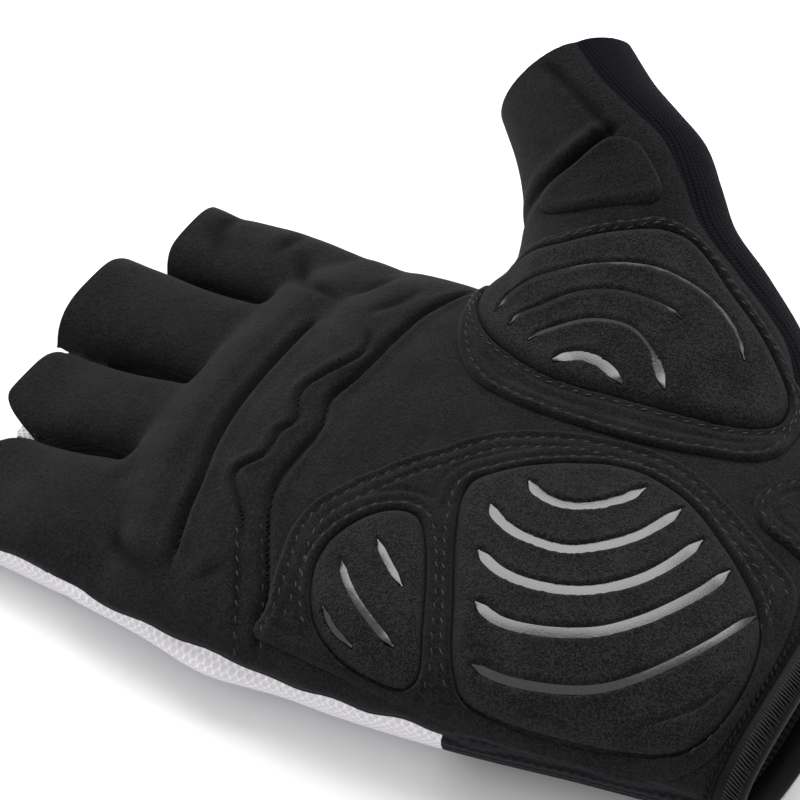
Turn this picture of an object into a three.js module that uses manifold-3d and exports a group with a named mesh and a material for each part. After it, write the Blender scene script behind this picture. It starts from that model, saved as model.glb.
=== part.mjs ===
// A right-hand fingerless cycling glove that lies on its back with the palm up.
// It keeps the rounded form that a hand gave it, and it is open at the wrist,
// at the four short fingers and at the thumb.
// Millimetres, +Z up, +X towards the wrist, +Y towards the thumb, floor at z = 0.
import * as THREE from "three";
import { mergeVertices } from "three/addons/utils/BufferGeometryUtils.js";
import Module from "manifold-3d";

const wasm = await Module();
wasm.setup();

// Driving dimensions.
const PALM_LENGTH = 126;
const PALM_WIDTH = 105;
const PALM_THICKNESS = 29;
const SEAM_HEIGHT = 13.5;
const FINGER_LENGTH = 34;
const FINGER_THICKNESS = 17;
const FINGER_SEAM_HEIGHT = 10;
const FINGER_GAP = 0.9;
const THUMB_LENGTH = 87;
const THUMB_WIDTH = 57;
const THUMB_THICKNESS = 31;
const THUMB_HEADING = 137;
const THUMB_CLIMB = 18.5;
const THUMB_SEAM_REACH = 6;
const CLOTH_WALL = 1.8;
const CUFF_LEAN = 2.4;
const BINDING_WIDTH = 4.6;
const BINDING_OVERHANG = 0.7;
const RIB_PANEL_LENGTH = 44;
const OVERLAY_THICKNESS = 1.1;
const PAD_RISE = 2.8;
const PAD_SEAT_DEPTH = 1.5;
const GROOVE_WIDTH = 2.8;
const GROOVE_DEPTH = 1.2;
const FILM_THICKNESS = 0.5;
const FOURCHETTE_HEIGHT = 7.5;
const FOURCHETTE_REACH = 3.1;

// Clearances between sewn pieces.
const SEAM_GAP = 0.3;
const SEAT_GAP = 0.3;
const WINDOW_GAP = 0.4;

// How finely the sections are divided.
const PALM_SIDES = 32;
const FINGER_SIDES = 18;
const THUMB_SIDES = 22;
const INNER_PALM_SIDES = 24;
const INNER_FINGER_SIDES = 14;
const INNER_THUMB_SIDES = 18;
const STATION_STEP = 18;
const THUMB_STEP = 9;
const GROOVE_STEP = 6;

// Sections of the palm, from the finger roots (0) to the wrist (1).
// at is a share of the palm length, ulnar and radial are shares of the palm width
// on the little finger's and the thumb's side, seam is a share of the seam height,
// top is a share of the palm thickness. The rows at 0.06 to 0.26 are the knuckle folds.
const PALM_ROWS = [
  { at: 0.0, ulnar: -0.538, radial: 0.412, seam: 0.775, top: 0.6 },
  { at: 0.032, ulnar: -0.545, radial: 0.414, seam: 0.79, top: 0.697 },
  { at: 0.063, ulnar: -0.55, radial: 0.414, seam: 0.81, top: 0.759 },
  { at: 0.091, ulnar: -0.552, radial: 0.413, seam: 0.82, top: 0.762 },
  { at: 0.115, ulnar: -0.554, radial: 0.411, seam: 0.84, top: 0.745 },
  { at: 0.151, ulnar: -0.556, radial: 0.41, seam: 0.86, top: 0.834 },
  { at: 0.198, ulnar: -0.557, radial: 0.41, seam: 0.89, top: 0.883 },
  { at: 0.238, ulnar: -0.557, radial: 0.412, seam: 0.905, top: 0.883 },
  { at: 0.258, ulnar: -0.557, radial: 0.414, seam: 0.91, top: 0.869 },
  { at: 0.302, ulnar: -0.557, radial: 0.419, seam: 0.92, top: 0.917 },
  { at: 0.389, ulnar: -0.554, radial: 0.429, seam: 0.94, top: 0.945 },
  { at: 0.484, ulnar: -0.548, radial: 0.443, seam: 0.965, top: 0.966 },
  { at: 0.643, ulnar: -0.519, radial: 0.448, seam: 1.0, top: 1.0 },
  { at: 0.802, ulnar: -0.476, radial: 0.414, seam: 1.0, top: 1.0 },
  { at: 0.921, ulnar: -0.443, radial: 0.381, seam: 0.96, top: 0.931 },
  { at: 1.0, ulnar: -0.424, radial: 0.362, seam: 0.925, top: 0.862 },
];

// The lines that bound the fingers, as shares of the palm width, from the thumb's side.
const FINGER_LINES = [
  { root: 0.42, tip: 0.414 },
  { root: 0.205, tip: 0.196 },
  { root: -0.043, tip: -0.067 },
  { root: -0.256, tip: -0.284 },
  { root: -0.535, tip: -0.523 },
];

// How far each finger reaches past its root, as a share of the finger length.
const FINGER_ROWS = [
  { name: "index", reach: 0.75 },
  { name: "middle", reach: 1.0 },
  { name: "ring", reach: 0.94 },
  { name: "little", reach: 0.75 },
];

// Where the thumb starts: shares of the palm length, width and thickness.
const THUMB_START = { at: 0.762, across: 0.229, height: 0.517 };

// Sections of the thumb. along is a share of the thumb length; shift and half are shares
// of the thumb width; lift and thick are shares of the thumb thickness; roll is in degrees.
const THUMB_ROWS = [
  { along: 0.0, shift: 0.0, lift: 0.0, half: 0.351, thick: 0.452, roll: 4 },
  { along: 0.184, shift: -0.044, lift: -0.048, half: 0.456, thick: 0.5, roll: 8 },
  { along: 0.356, shift: -0.116, lift: -0.09, half: 0.502, thick: 0.484, roll: 14 },
  { along: 0.483, shift: -0.109, lift: -0.074, half: 0.449, thick: 0.452, roll: 20 },
  { along: 0.586, shift: -0.042, lift: -0.026, half: 0.389, thick: 0.429, roll: 28 },
  { along: 0.69, shift: 0.005, lift: 0.01, half: 0.351, thick: 0.413, roll: 36 },
  { along: 0.782, shift: 0.007, lift: 0.019, half: 0.314, thick: 0.4, roll: 44 },
  { along: 0.885, shift: 0.0, lift: 0.006, half: 0.284, thick: 0.387, roll: 52 },
  { along: 1.0, shift: -0.005, lift: -0.019, half: 0.277, thick: 0.365, roll: 58 },
];

// The thumb's side seam: heights above the thumb's axis as shares of its half thickness.
const THUMB_SEAM = { web: -0.1, outer: 0.7, outerAt: 0.77 };

// Outlines on the palm: at is a share of the palm length, across of the palm width.
const HEEL_PAD = [
  { at: 0.512, across: -0.154 }, { at: 0.536, across: -0.107 }, { at: 0.599, across: -0.049 },
  { at: 0.687, across: -0.004 }, { at: 0.774, across: -0.023 }, { at: 0.854, across: -0.085 },
  { at: 0.934, across: -0.164 }, { at: 0.949, across: -0.224 }, { at: 0.944, across: -0.339 },
  { at: 0.914, across: -0.404 }, { at: 0.834, across: -0.439 }, { at: 0.744, across: -0.459 },
  { at: 0.664, across: -0.472 }, { at: 0.629, across: -0.472 }, { at: 0.582, across: -0.379 },
  { at: 0.535, across: -0.249 },
];
const SIDE_PAD = [
  { at: 0.379, across: -0.374 }, { at: 0.396, across: -0.329 }, { at: 0.419, across: -0.286 },
  { at: 0.449, across: -0.254 }, { at: 0.479, across: -0.246 }, { at: 0.495, across: -0.269 },
  { at: 0.514, across: -0.324 }, { at: 0.534, across: -0.389 }, { at: 0.552, across: -0.449 },
  { at: 0.557, across: -0.487 }, { at: 0.534, across: -0.503 }, { at: 0.484, across: -0.503 },
  { at: 0.439, across: -0.501 }, { at: 0.397, across: -0.454 },
];
const THUMB_PAD = [
  { at: 0.322, across: 0.351 }, { at: 0.334, across: 0.276 }, { at: 0.368, across: 0.219 },
  { at: 0.414, across: 0.181 }, { at: 0.484, across: 0.151 }, { at: 0.547, across: 0.144 },
  { at: 0.620, across: 0.151 }, { at: 0.691, across: 0.160 }, { at: 0.759, across: 0.176 },
  { at: 0.804, across: 0.201 }, { at: 0.830, across: 0.241 }, { at: 0.826, across: 0.296 },
  { at: 0.781, across: 0.344 }, { at: 0.737, across: 0.379 }, { at: 0.690, across: 0.411 },
  { at: 0.644, across: 0.446 }, { at: 0.604, across: 0.463 }, { at: 0.564, across: 0.459 },
  { at: 0.533, across: 0.443 }, { at: 0.488, across: 0.418 }, { at: 0.424, across: 0.384 },
  { at: 0.364, across: 0.374 },
];
const HEEL_OVERLAY = [
  { at: 0.343, across: -0.523 }, { at: 0.340, across: -0.476 }, { at: 0.326, across: -0.406 },
  { at: 0.317, across: -0.358 }, { at: 0.318, across: -0.311 }, { at: 0.335, across: -0.258 },
  { at: 0.359, across: -0.211 }, { at: 0.395, across: -0.148 }, { at: 0.435, across: -0.091 },
  { at: 0.477, across: -0.031 }, { at: 0.525, across: 0.007 }, { at: 0.580, across: 0.035 },
  { at: 0.645, across: 0.053 }, { at: 0.705, across: 0.061 }, { at: 0.750, across: 0.055 },
  { at: 0.795, across: 0.035 }, { at: 0.845, across: 0.003 }, { at: 0.905, across: -0.037 },
  { at: 0.953, across: -0.069 }, { at: 0.953, across: -0.261 }, { at: 0.953, across: -0.391 },
  { at: 0.905, across: -0.429 }, { at: 0.805, across: -0.459 }, { at: 0.705, across: -0.489 },
  { at: 0.605, across: -0.514 }, { at: 0.505, across: -0.526 }, { at: 0.405, across: -0.526 },
];
const THUMB_OVERLAY = [
  { at: 0.340, across: 0.179 }, { at: 0.377, across: 0.117 }, { at: 0.415, across: 0.082 },
  { at: 0.465, across: 0.067 }, { at: 0.525, across: 0.060 }, { at: 0.605, across: 0.062 },
  { at: 0.665, across: 0.069 }, { at: 0.720, across: 0.081 }, { at: 0.770, across: 0.099 },
  { at: 0.825, across: 0.127 }, { at: 0.853, across: 0.169 }, { at: 0.861, across: 0.239 },
  { at: 0.855, across: 0.309 }, { at: 0.810, across: 0.356 }, { at: 0.755, across: 0.394 },
  { at: 0.705, across: 0.431 }, { at: 0.655, across: 0.469 }, { at: 0.605, across: 0.487 },
  { at: 0.555, across: 0.483 }, { at: 0.505, across: 0.451 }, { at: 0.425, across: 0.414 },
  { at: 0.355, across: 0.399 }, { at: 0.305, across: 0.374 }, { at: 0.315, across: 0.259 },
];
const THUMB_PATCH = [
  { at: 0.416, across: 0.577 }, { at: 0.462, across: 0.585 }, { at: 0.499, across: 0.561 },
  { at: 0.531, across: 0.526 }, { at: 0.526, across: 0.499 }, { at: 0.474, across: 0.473 },
  { at: 0.409, across: 0.453 }, { at: 0.369, across: 0.459 }, { at: 0.349, across: 0.481 },
  { at: 0.346, across: 0.506 }, { at: 0.382, across: 0.536 },
];
const WRIST_TAB = [
  { at: 0.859, across: 0.079 }, { at: 0.857, across: 0.051 }, { at: 0.865, across: 0.024 },
  { at: 0.887, across: 0.002 }, { at: 0.925, across: -0.011 }, { at: 0.953, across: -0.017 },
  { at: 0.953, across: 0.144 }, { at: 0.935, across: 0.152 }, { at: 0.900, across: 0.144 },
  { at: 0.873, across: 0.115 },
];

// Arc grooves: at and across give the centre, as shares of palm length and width;
// radius is a share of the palm width; from and to are degrees.
const HEEL_ARCS = [
  { name: "heel_strip_1", at: 0.63, across: -0.06, radius: 0.082, from: -126, to: -14 },
  { name: "heel_strip_2", at: 0.63, across: -0.067, radius: 0.158, from: -123, to: -8 },
  { name: "heel_strip_3", at: 0.632, across: -0.084, radius: 0.222, from: -108, to: -8 },
  { name: "heel_strip_4", at: 0.632, across: -0.093, radius: 0.294, from: -94, to: -13 },
  { name: "heel_strip_5", at: 0.632, across: -0.094, radius: 0.36, from: -88, to: -20 },
];
const SIDE_ARCS = [
  { name: "side_strip_1", at: 0.715, across: -0.012, radius: 0.45, from: -136, to: -124 },
  { name: "side_strip_2", at: 0.715, across: -0.012, radius: 0.515, from: -134, to: -115 },
  { name: "side_strip_3", at: 0.712, across: -0.006, radius: 0.553, from: -128, to: -119 },
];

// Grooves on the thumb's pad, as points along them: shares of palm length and width.
const THUMB_GROOVES = [
  { name: "thumb_strip_1", points: [[0.498, 0.162], [0.518, 0.181], [0.545, 0.19], [0.578, 0.182], [0.607, 0.167]] },
  {
    name: "thumb_strip_2",
    points: [[0.45, 0.185], [0.461, 0.207], [0.49, 0.229], [0.521, 0.247], [0.555, 0.257],
      [0.593, 0.256], [0.629, 0.234], [0.652, 0.209], [0.675, 0.176]],
  },
  {
    name: "thumb_strip_3",
    points: [[0.41, 0.208], [0.416, 0.236], [0.449, 0.257], [0.489, 0.287], [0.541, 0.31],
      [0.592, 0.316], [0.632, 0.314], [0.653, 0.302]],
  },
  {
    name: "thumb_strip_4",
    points: [[0.377, 0.236], [0.382, 0.276], [0.403, 0.299], [0.442, 0.318], [0.49, 0.344],
      [0.542, 0.366], [0.592, 0.378], [0.648, 0.375], [0.693, 0.358], [0.732, 0.326], [0.757, 0.286]],
  },
];

// Cloth colours of the pieces.
const SUEDE = new THREE.MeshStandardMaterial({ color: 0x26262a, roughness: 0.95, metalness: 0 });
const MESH_CLOTH = new THREE.MeshStandardMaterial({ color: 0xdedbe0, roughness: 0.85, metalness: 0 });
const RIB_KNIT = new THREE.MeshStandardMaterial({ color: 0x17171c, roughness: 0.8, metalness: 0 });
const NAVY_KNIT = new THREE.MeshStandardMaterial({ color: 0x1c1b28, roughness: 0.8, metalness: 0 });
const TAPE = new THREE.MeshStandardMaterial({ color: 0x1e1e22, roughness: 0.5, metalness: 0 });
const FILM = new THREE.MeshStandardMaterial({ color: 0x8c8c90, roughness: 0.25, metalness: 0 });

// The palm runs from ROOT_X to CUFF_X, and the thumb's side seam is as high as the palm's.
const ROOT_X = -PALM_LENGTH * 0.325;
const CUFF_X = ROOT_X + PALM_LENGTH;
const PANEL_END_X = CUFF_X - BINDING_WIDTH - SEAM_GAP;
const PAST_EDGE = 8;
const CUFF_LEAN_START = 0.8;

// Smooth value through the rows of a table, read at x.
function smoothAt(rows, key, column, x) {
  const last = rows.length - 1;
  let i = 0;
  while (i < last - 1 && x > rows[i + 1][key]) i += 1;
  const slope = (k) => {
    const a = rows[Math.max(0, k - 1)];
    const b = rows[Math.min(last, k + 1)];
    return (b[column] - a[column]) / (b[key] - a[key]);
  };
  const x0 = rows[i][key];
  const x1 = rows[i + 1][key];
  const h = x1 - x0;
  const t = (x - x0) / h;
  if (t < 0) return rows[i][column] + slope(i) * h * t;
  if (t > 1) return rows[i + 1][column] + slope(i + 1) * h * (t - 1);
  const a = rows[i][column];
  const b = rows[i + 1][column];
  const t2 = t * t;
  const t3 = t2 * t;
  return (2 * t3 - 3 * t2 + 1) * a + (t3 - 2 * t2 + t) * h * slope(i)
    + (3 * t2 - 2 * t3) * b + (t3 - t2) * h * slope(i + 1);
}

// A signed power, for rounded sections that are fuller than an ellipse.
function bend(value, power) {
  return Math.sign(value) * Math.abs(value) ** power;
}

// A closed solid from a list of triangles on shared points, turned so that it faces out.
function solidFrom(points, triangles) {
  const geometry = new THREE.BufferGeometry();
  geometry.setAttribute("position", new THREE.Float32BufferAttribute(points.flat(), 3));
  geometry.setIndex(triangles.flat());
  return solidOf(geometry);
}

function solidOf(source) {
  let geometry = source;
  geometry.deleteAttribute("normal");
  geometry.deleteAttribute("uv");
  geometry = mergeVertices(geometry, 1e-4);
  const place = geometry.attributes.position;
  const order = Array.from(geometry.index.array);
  const [a, b, c] = [new THREE.Vector3(), new THREE.Vector3(), new THREE.Vector3()];
  let volume = 0;
  for (let i = 0; i < order.length; i += 3) {
    a.fromBufferAttribute(place, order[i]);
    b.fromBufferAttribute(place, order[i + 1]);
    c.fromBufferAttribute(place, order[i + 2]);
    volume += a.dot(b.cross(c)) / 6;
  }
  if (volume < 0) order.reverse();
  return new wasm.Manifold(new wasm.Mesh({
    numProp: 3,
    vertProperties: new Float32Array(place.array),
    triVerts: new Uint32Array(order),
  }));
}

// A solid skinned over rings of points that have the same count, closed at both ends.
function loft(rings) {
  const sides = rings[0].length;
  const points = rings.flat();
  const triangles = [];
  for (let i = 0; i < rings.length - 1; i += 1) {
    for (let j = 0; j < sides; j += 1) {
      const a = i * sides + j;
      const b = i * sides + ((j + 1) % sides);
      triangles.push([a, b, b + sides]);
      triangles.push([a, b + sides, a + sides]);
    }
  }
  const middle = (ring) => [0, 1, 2].map((k) => ring.reduce((s, p) => s + p[k], 0) / sides);
  const first = points.push(middle(rings[0])) - 1;
  const final = points.push(middle(rings[rings.length - 1])) - 1;
  const start = (rings.length - 1) * sides;
  for (let j = 0; j < sides; j += 1) {
    triangles.push([first, (j + 1) % sides, j]);
    triangles.push([final, start + j, start + ((j + 1) % sides)]);
  }
  return solidFrom(points, triangles);
}

// Stations along the palm: each row, and points between rows that lie far apart.
function palmStations() {
  const stations = [];
  PALM_ROWS.forEach((row, i) => {
    stations.push(row.at);
    const next = PALM_ROWS[i + 1];
    if (next && (next.at - row.at) * PALM_LENGTH > STATION_STEP) {
      stations.push((row.at + next.at) / 2);
    }
  });
  return stations;
}

// One section of the palm, inset from the outer skin, or grown where inset is below 0.
function palmRing(x, inset, sides) {
  const at = (x - ROOT_X) / PALM_LENGTH;
  const ulnar = smoothAt(PALM_ROWS, "at", "ulnar", at) * PALM_WIDTH + inset;
  const radial = smoothAt(PALM_ROWS, "at", "radial", at) * PALM_WIDTH - inset;
  const seam = smoothAt(PALM_ROWS, "at", "seam", at) * SEAM_HEIGHT;
  const top = smoothAt(PALM_ROWS, "at", "top", at) * PALM_THICKNESS - inset;
  const lean = CUFF_LEAN * Math.max(0, (at - CUFF_LEAN_START) / (1 - CUFF_LEAN_START));
  const ring = [];
  for (let i = 0; i < sides; i += 1) {
    const angle = (i / sides) * Math.PI * 2;
    const c = Math.cos(angle);
    const s = Math.sin(angle);
    const y = (ulnar + radial) / 2 + ((radial - ulnar) / 2) * bend(c, 0.72);
    let z = seam + (top - seam) * Math.abs(s) ** 0.85;
    const under = seam * 1.05 - inset;
    if (s < 0) z = Math.max(0, inset, seam - under * Math.abs(s) ** 0.7);
    ring.push([x + lean * (1 - z / PALM_THICKNESS), y, z]);
  }
  return ring;
}

function palmLoft(inset, startX, endX, sides = PALM_SIDES) {
  const stations = palmStations().map((at) => ROOT_X + at * PALM_LENGTH);
  const inside = stations.filter((x) => x > startX + 1 && x < endX - 1);
  return loft([startX, ...inside, endX].map((x) => palmRing(x, inset, sides)));
}

// The finger tube between two finger lines.
function fingerTip(i) {
  return ROOT_X - FINGER_ROWS[i].reach * FINGER_LENGTH;
}

function fingerLine(i, x) {
  const line = FINGER_LINES[i];
  return PALM_WIDTH * (line.root + (line.tip - line.root) * ((ROOT_X - x) / FINGER_LENGTH));
}

// Inside the palm the finger's tube narrows, so that it stays within the palm's skin.
const ROOT_DEPTH = 0.5;
function fingerLoft(i, inset, startX, endX, sides = FINGER_SIDES) {
  const rings = [startX, ROOT_X, endX].map((x) => {
    const depth = x > ROOT_X ? ROOT_DEPTH : 1;
    const far = fingerLine(i, x) - (i > 0 ? FINGER_GAP / 2 : 0) - inset;
    const near = fingerLine(i + 1, x) + (i < FINGER_ROWS.length - 1 ? FINGER_GAP / 2 : 0) + inset;
    const top = FINGER_THICKNESS - inset;
    const ring = [];
    for (let k = 0; k < sides; k += 1) {
      const angle = (k / sides) * Math.PI * 2;
      const c = Math.cos(angle);
      const s = Math.sin(angle);
      const y = (far + near) / 2 + ((far - near) / 2) * bend(c, 0.8) * (0.7 + 0.3 * depth);
      let z = FINGER_SEAM_HEIGHT + (top - FINGER_SEAM_HEIGHT) * Math.abs(s) ** 0.9;
      const under = (FINGER_SEAM_HEIGHT * 1.05 - inset) * depth;
      if (s < 0) z = Math.max(inset, FINGER_SEAM_HEIGHT - under * Math.abs(s) ** 0.8);
      ring.push([x, y, z]);
    }
    return ring;
  });
  return loft(rings);
}

// The thumb's axis, and the frame of one of its sections.
const heading = THREE.MathUtils.degToRad(THUMB_HEADING);
const climb = THREE.MathUtils.degToRad(THUMB_CLIMB);
const thumbAxis = new THREE.Vector3(
  Math.cos(heading) * Math.cos(climb),
  Math.sin(heading) * Math.cos(climb),
  Math.sin(climb),
);
const thumbUp = new THREE.Vector3(0, 0, 1).addScaledVector(thumbAxis, -thumbAxis.z).normalize();
const thumbSide = new THREE.Vector3().crossVectors(thumbAxis, thumbUp);
const thumbStart = new THREE.Vector3(
  ROOT_X + THUMB_START.at * PALM_LENGTH,
  THUMB_START.across * PALM_WIDTH,
  THUMB_START.height * PALM_THICKNESS,
);

function thumbFrame(along) {
  const read = (column) => smoothAt(THUMB_ROWS, "along", column, along);
  const roll = THREE.MathUtils.degToRad(read("roll"));
  const side = thumbSide.clone().multiplyScalar(Math.cos(roll));
  side.addScaledVector(thumbUp, Math.sin(roll));
  const up = thumbUp.clone().multiplyScalar(Math.cos(roll));
  up.addScaledVector(thumbSide, -Math.sin(roll));
  const centre = thumbStart.clone().addScaledVector(thumbAxis, along * THUMB_LENGTH);
  centre.addScaledVector(thumbSide, read("shift") * THUMB_WIDTH);
  centre.addScaledVector(thumbUp, read("lift") * THUMB_THICKNESS);
  return { side, up, centre, half: read("half") * THUMB_WIDTH, thick: read("thick") * THUMB_THICKNESS };
}

function thumbPoint(frame, across, height) {
  const point = frame.centre.clone().addScaledVector(frame.side, across);
  return point.addScaledVector(frame.up, height).toArray();
}

function thumbStations(start, end) {
  const steps = Math.ceil(((end - start) * THUMB_LENGTH) / THUMB_STEP);
  return Array.from({ length: steps + 1 }, (_, i) => start + ((end - start) * i) / steps);
}

function thumbLoft(inset, start, end, sides = THUMB_SIDES) {
  return loft(thumbStations(start, end).map((along) => {
    const frame = thumbFrame(along);
    const ring = [];
    for (let i = 0; i < sides; i += 1) {
      const angle = (i / sides) * Math.PI * 2;
      const across = (frame.half - inset) * bend(Math.cos(angle), 0.85);
      ring.push(thumbPoint(frame, across, (frame.thick - inset) * bend(Math.sin(angle), 0.9)));
    }
    return ring;
  }));
}

// Everything on the front side of the thumb's seam, or behind it, as one solid.
function thumbSideSolid(front, gap, start, end) {
  return loft(thumbStations(start, end).map((along) => {
    const frame = thumbFrame(along);
    const reach = frame.half + THUMB_SEAM_REACH;
    const web = THUMB_SEAM.web * frame.thick + gap;
    const outer = THUMB_SEAM.outer * frame.thick + gap;
    const outerAt = THUMB_SEAM.outerAt * frame.half;
    const depth = frame.thick + THUMB_SEAM_REACH;
    const far = front ? depth : -depth;
    return [
      thumbPoint(frame, -reach, web),
      thumbPoint(frame, outerAt, outer),
      thumbPoint(frame, reach, outer + (reach - outerAt) * 0.3),
      thumbPoint(frame, reach, far),
      thumbPoint(frame, -reach, far),
    ];
  }));
}

// The height of the side seam along the hand and the fingers.
function seamAt(x) {
  if (x < ROOT_X) return FINGER_SEAM_HEIGHT;
  return smoothAt(PALM_ROWS, "at", "seam", (x - ROOT_X) / PALM_LENGTH) * SEAM_HEIGHT;
}

// Everything above the side seam (to z = far), or below it.
function seamSolid(gap, far) {
  const tip = ROOT_X - FINGER_LENGTH - PAST_EDGE;
  const inside = palmStations().map((at) => ROOT_X + at * PALM_LENGTH);
  const stations = [tip, ...inside, CUFF_X + PAST_EDGE * 2];
  return loft(stations.map((x) => {
    const z = seamAt(Math.min(x, CUFF_X)) + gap;
    const wide = PALM_WIDTH * 1.4;
    return [[x, -wide, z], [x, wide, z], [x, wide, far], [x, -wide, far]];
  }));
}

// A solid with vertical sides over an outline in plan.
function prism(outline, low, high) {
  const shape = new THREE.Shape(outline.map(([x, y]) => new THREE.Vector2(x, y)));
  const geometry = new THREE.ExtrudeGeometry(shape, { depth: high - low, bevelEnabled: false });
  geometry.translate(0, 0, low);
  return solidOf(geometry);
}

// An outline from its table, resampled evenly along a closed curve.
function outlineOf(rows, count) {
  const knots = rows.map((row) => new THREE.Vector3(
    ROOT_X + row.at * PALM_LENGTH,
    row.across * PALM_WIDTH,
    0,
  ));
  const curve = new THREE.CatmullRomCurve3(knots, true, "centripetal");
  return curve.getSpacedPoints(count).slice(0, count).map((p) => [p.x, p.y]);
}

function centreOf(outline) {
  return [0, 1].map((k) => outline.reduce((s, p) => s + p[k], 0) / outline.length);
}

// The same outline moved out from its centre by a clearance.
function widened(outline, by) {
  const [cx, cy] = centreOf(outline);
  return outline.map(([x, y]) => {
    const reach = Math.hypot(x - cx, y - cy);
    const scale = (reach + by) / reach;
    return [cx + (x - cx) * scale, cy + (y - cy) * scale];
  });
}

// The outer skins and hollows of the whole glove.
const FINGER_INSIDE = 15;
const handOuter = FINGER_ROWS.reduce(
  (solid, row, i) => solid.add(fingerLoft(i, 0, ROOT_X + FINGER_INSIDE, fingerTip(i))),
  palmLoft(0, ROOT_X, PANEL_END_X),
);
const fingerHollow = (i) => fingerLoft(
  i,
  CLOTH_WALL,
  ROOT_X + FINGER_INSIDE,
  fingerTip(i) - PAST_EDGE,
  INNER_FINGER_SIDES,
);
const handInner = FINGER_ROWS.reduce(
  (solid, row, i) => solid.add(fingerHollow(i)),
  palmLoft(CLOTH_WALL, ROOT_X + CLOTH_WALL, CUFF_X + PAST_EDGE, INNER_PALM_SIDES),
);
const thumbOuter = thumbLoft(0, 0, 1);
const hollow = handInner.add(thumbLoft(CLOTH_WALL, CLOTH_WALL / THUMB_LENGTH, 1.1, INNER_THUMB_SIDES));
const handShell = handOuter.subtract(hollow);
const thumbShell = thumbOuter.subtract(hollow);

// The seam between the thumb's back and the hand follows the hand's own skin.
const handGrown = palmLoft(-SEAM_GAP, ROOT_X - SEAM_GAP, CUFF_X);

// Slit boxes between the fingers, where the side walls are a separate knit.
function slitPrism(i, grow) {
  const tip = Math.min(fingerTip(i), fingerTip(i + 1)) - PAST_EDGE;
  const back = ROOT_X + CLOTH_WALL * 1.4 + grow;
  const reach = FOURCHETTE_REACH + grow;
  const low = FINGER_SEAM_HEIGHT - FOURCHETTE_HEIGHT * 0.42 - grow;
  const high = FINGER_SEAM_HEIGHT + FOURCHETTE_HEIGHT * 0.58 + grow;
  const line = fingerLine(i + 1, tip);
  const root = fingerLine(i + 1, back);
  return prism([[tip, line - reach], [back, root - reach], [back, root + reach], [tip, line + reach]], low, high);
}
const slits = FINGER_ROWS.slice(1).map((row, i) => ({ name: `fourchette_${i + 1}`, between: i }));
const slitRoom = slits.reduce(
  (solid, { between }) => solid.add(slitPrism(between, SEAM_GAP)),
  slitPrism(0, SEAM_GAP),
);

const HIGH = PALM_THICKNESS * 4;
const aboveSeam = seamSolid(SEAM_GAP / 2, HIGH);
const belowSeam = seamSolid(-SEAM_GAP / 2, -HIGH);
const thumbFront = thumbSideSolid(true, SEAM_GAP / 2, -0.2, 1.1);
const thumbBehind = thumbSideSolid(false, -SEAM_GAP / 2, -0.2, 1.1);

const palmPanel = handShell.intersect(aboveSeam).add(thumbShell.intersect(thumbFront)).subtract(slitRoom);
const backWhole = handShell.intersect(belowSeam).subtract(slitRoom);
const ribStart = CUFF_X - RIB_PANEL_LENGTH;
const wide = PALM_WIDTH * 1.4;
const backFrontPart = prism([
  [ROOT_X - FINGER_LENGTH - PAST_EDGE, -wide], [ribStart - SEAM_GAP, -wide],
  [ribStart - SEAM_GAP, wide], [ROOT_X - FINGER_LENGTH - PAST_EDGE, wide],
], -HIGH, HIGH);
const backRearPart = prism([
  [ribStart, -wide], [CUFF_X + PAST_EDGE, -wide], [CUFF_X + PAST_EDGE, wide], [ribStart, wide],
], -HIGH, HIGH);
const backPanel = backWhole.intersect(backFrontPart);
const ribPanel = backWhole.intersect(backRearPart);
const thumbBackPanel = thumbShell.intersect(thumbBehind).subtract(handGrown);

// The ribbed binding around the wrist opening.
const binding = palmLoft(-BINDING_OVERHANG, CUFF_X - BINDING_WIDTH, CUFF_X)
  .subtract(palmLoft(CLOTH_WALL, CUFF_X - BINDING_WIDTH - PAST_EDGE, CUFF_X + PAST_EDGE, INNER_PALM_SIDES));

// Pieces laid on the palm follow its skin at a small seat.
const skinSeat = palmLoft(-SEAT_GAP, ROOT_X - SEAT_GAP, CUFF_X + 1).add(thumbLoft(-SEAT_GAP, -SEAT_GAP / THUMB_LENGTH, 1.02));
const overlayTop = SEAT_GAP + OVERLAY_THICKNESS;
const skinOverlay = palmLoft(-overlayTop, ROOT_X - overlayTop, CUFF_X + 1)
  .add(thumbLoft(-overlayTop, -overlayTop / THUMB_LENGTH, 1.02));
const palmSide = palmLoft(-overlayTop, ROOT_X - overlayTop, CUFF_X + 1).add(thumbFront);
const overlaySlab = skinOverlay.subtract(skinSeat).intersect(palmSide);

function overlayPiece(rows, count, windows) {
  const piece = overlaySlab.intersect(prism(outlineOf(rows, count), PALM_THICKNESS * 0.35, HIGH));
  return windows.reduce(
    (solid, pad) => solid.subtract(prism(widened(pad.outline, WINDOW_GAP), 0, HIGH)),
    piece,
  );
}

// The height of the outer skin over a point in plan, read by a ray from above.
const skinMesh = new THREE.Mesh(geometryOf(handOuter.add(thumbOuter)), SUEDE);
skinMesh.updateMatrixWorld(true);
const ray = new THREE.Raycaster();
const down = new THREE.Vector3(0, 0, -1);
function skinTop(x, y) {
  ray.set(new THREE.Vector3(x, y, HIGH), down);
  const hits = ray.intersectObject(skinMesh);
  return hits.length ? hits[0].point.z : SEAM_HEIGHT;
}

// A stuffed pad: its edge is low and its middle stands a full rise above the skin.
const PAD_PROFILE = [
  { share: 1.0, rise: 0.3 },
  { share: 0.95, rise: 0.7 },
  { share: 0.85, rise: 0.93 },
  { share: 0.5, rise: 1.0 },
];
function padOf(rows, count) {
  const outline = outlineOf(rows, count);
  const centre = centreOf(outline);
  return { outline, centre };
}

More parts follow.
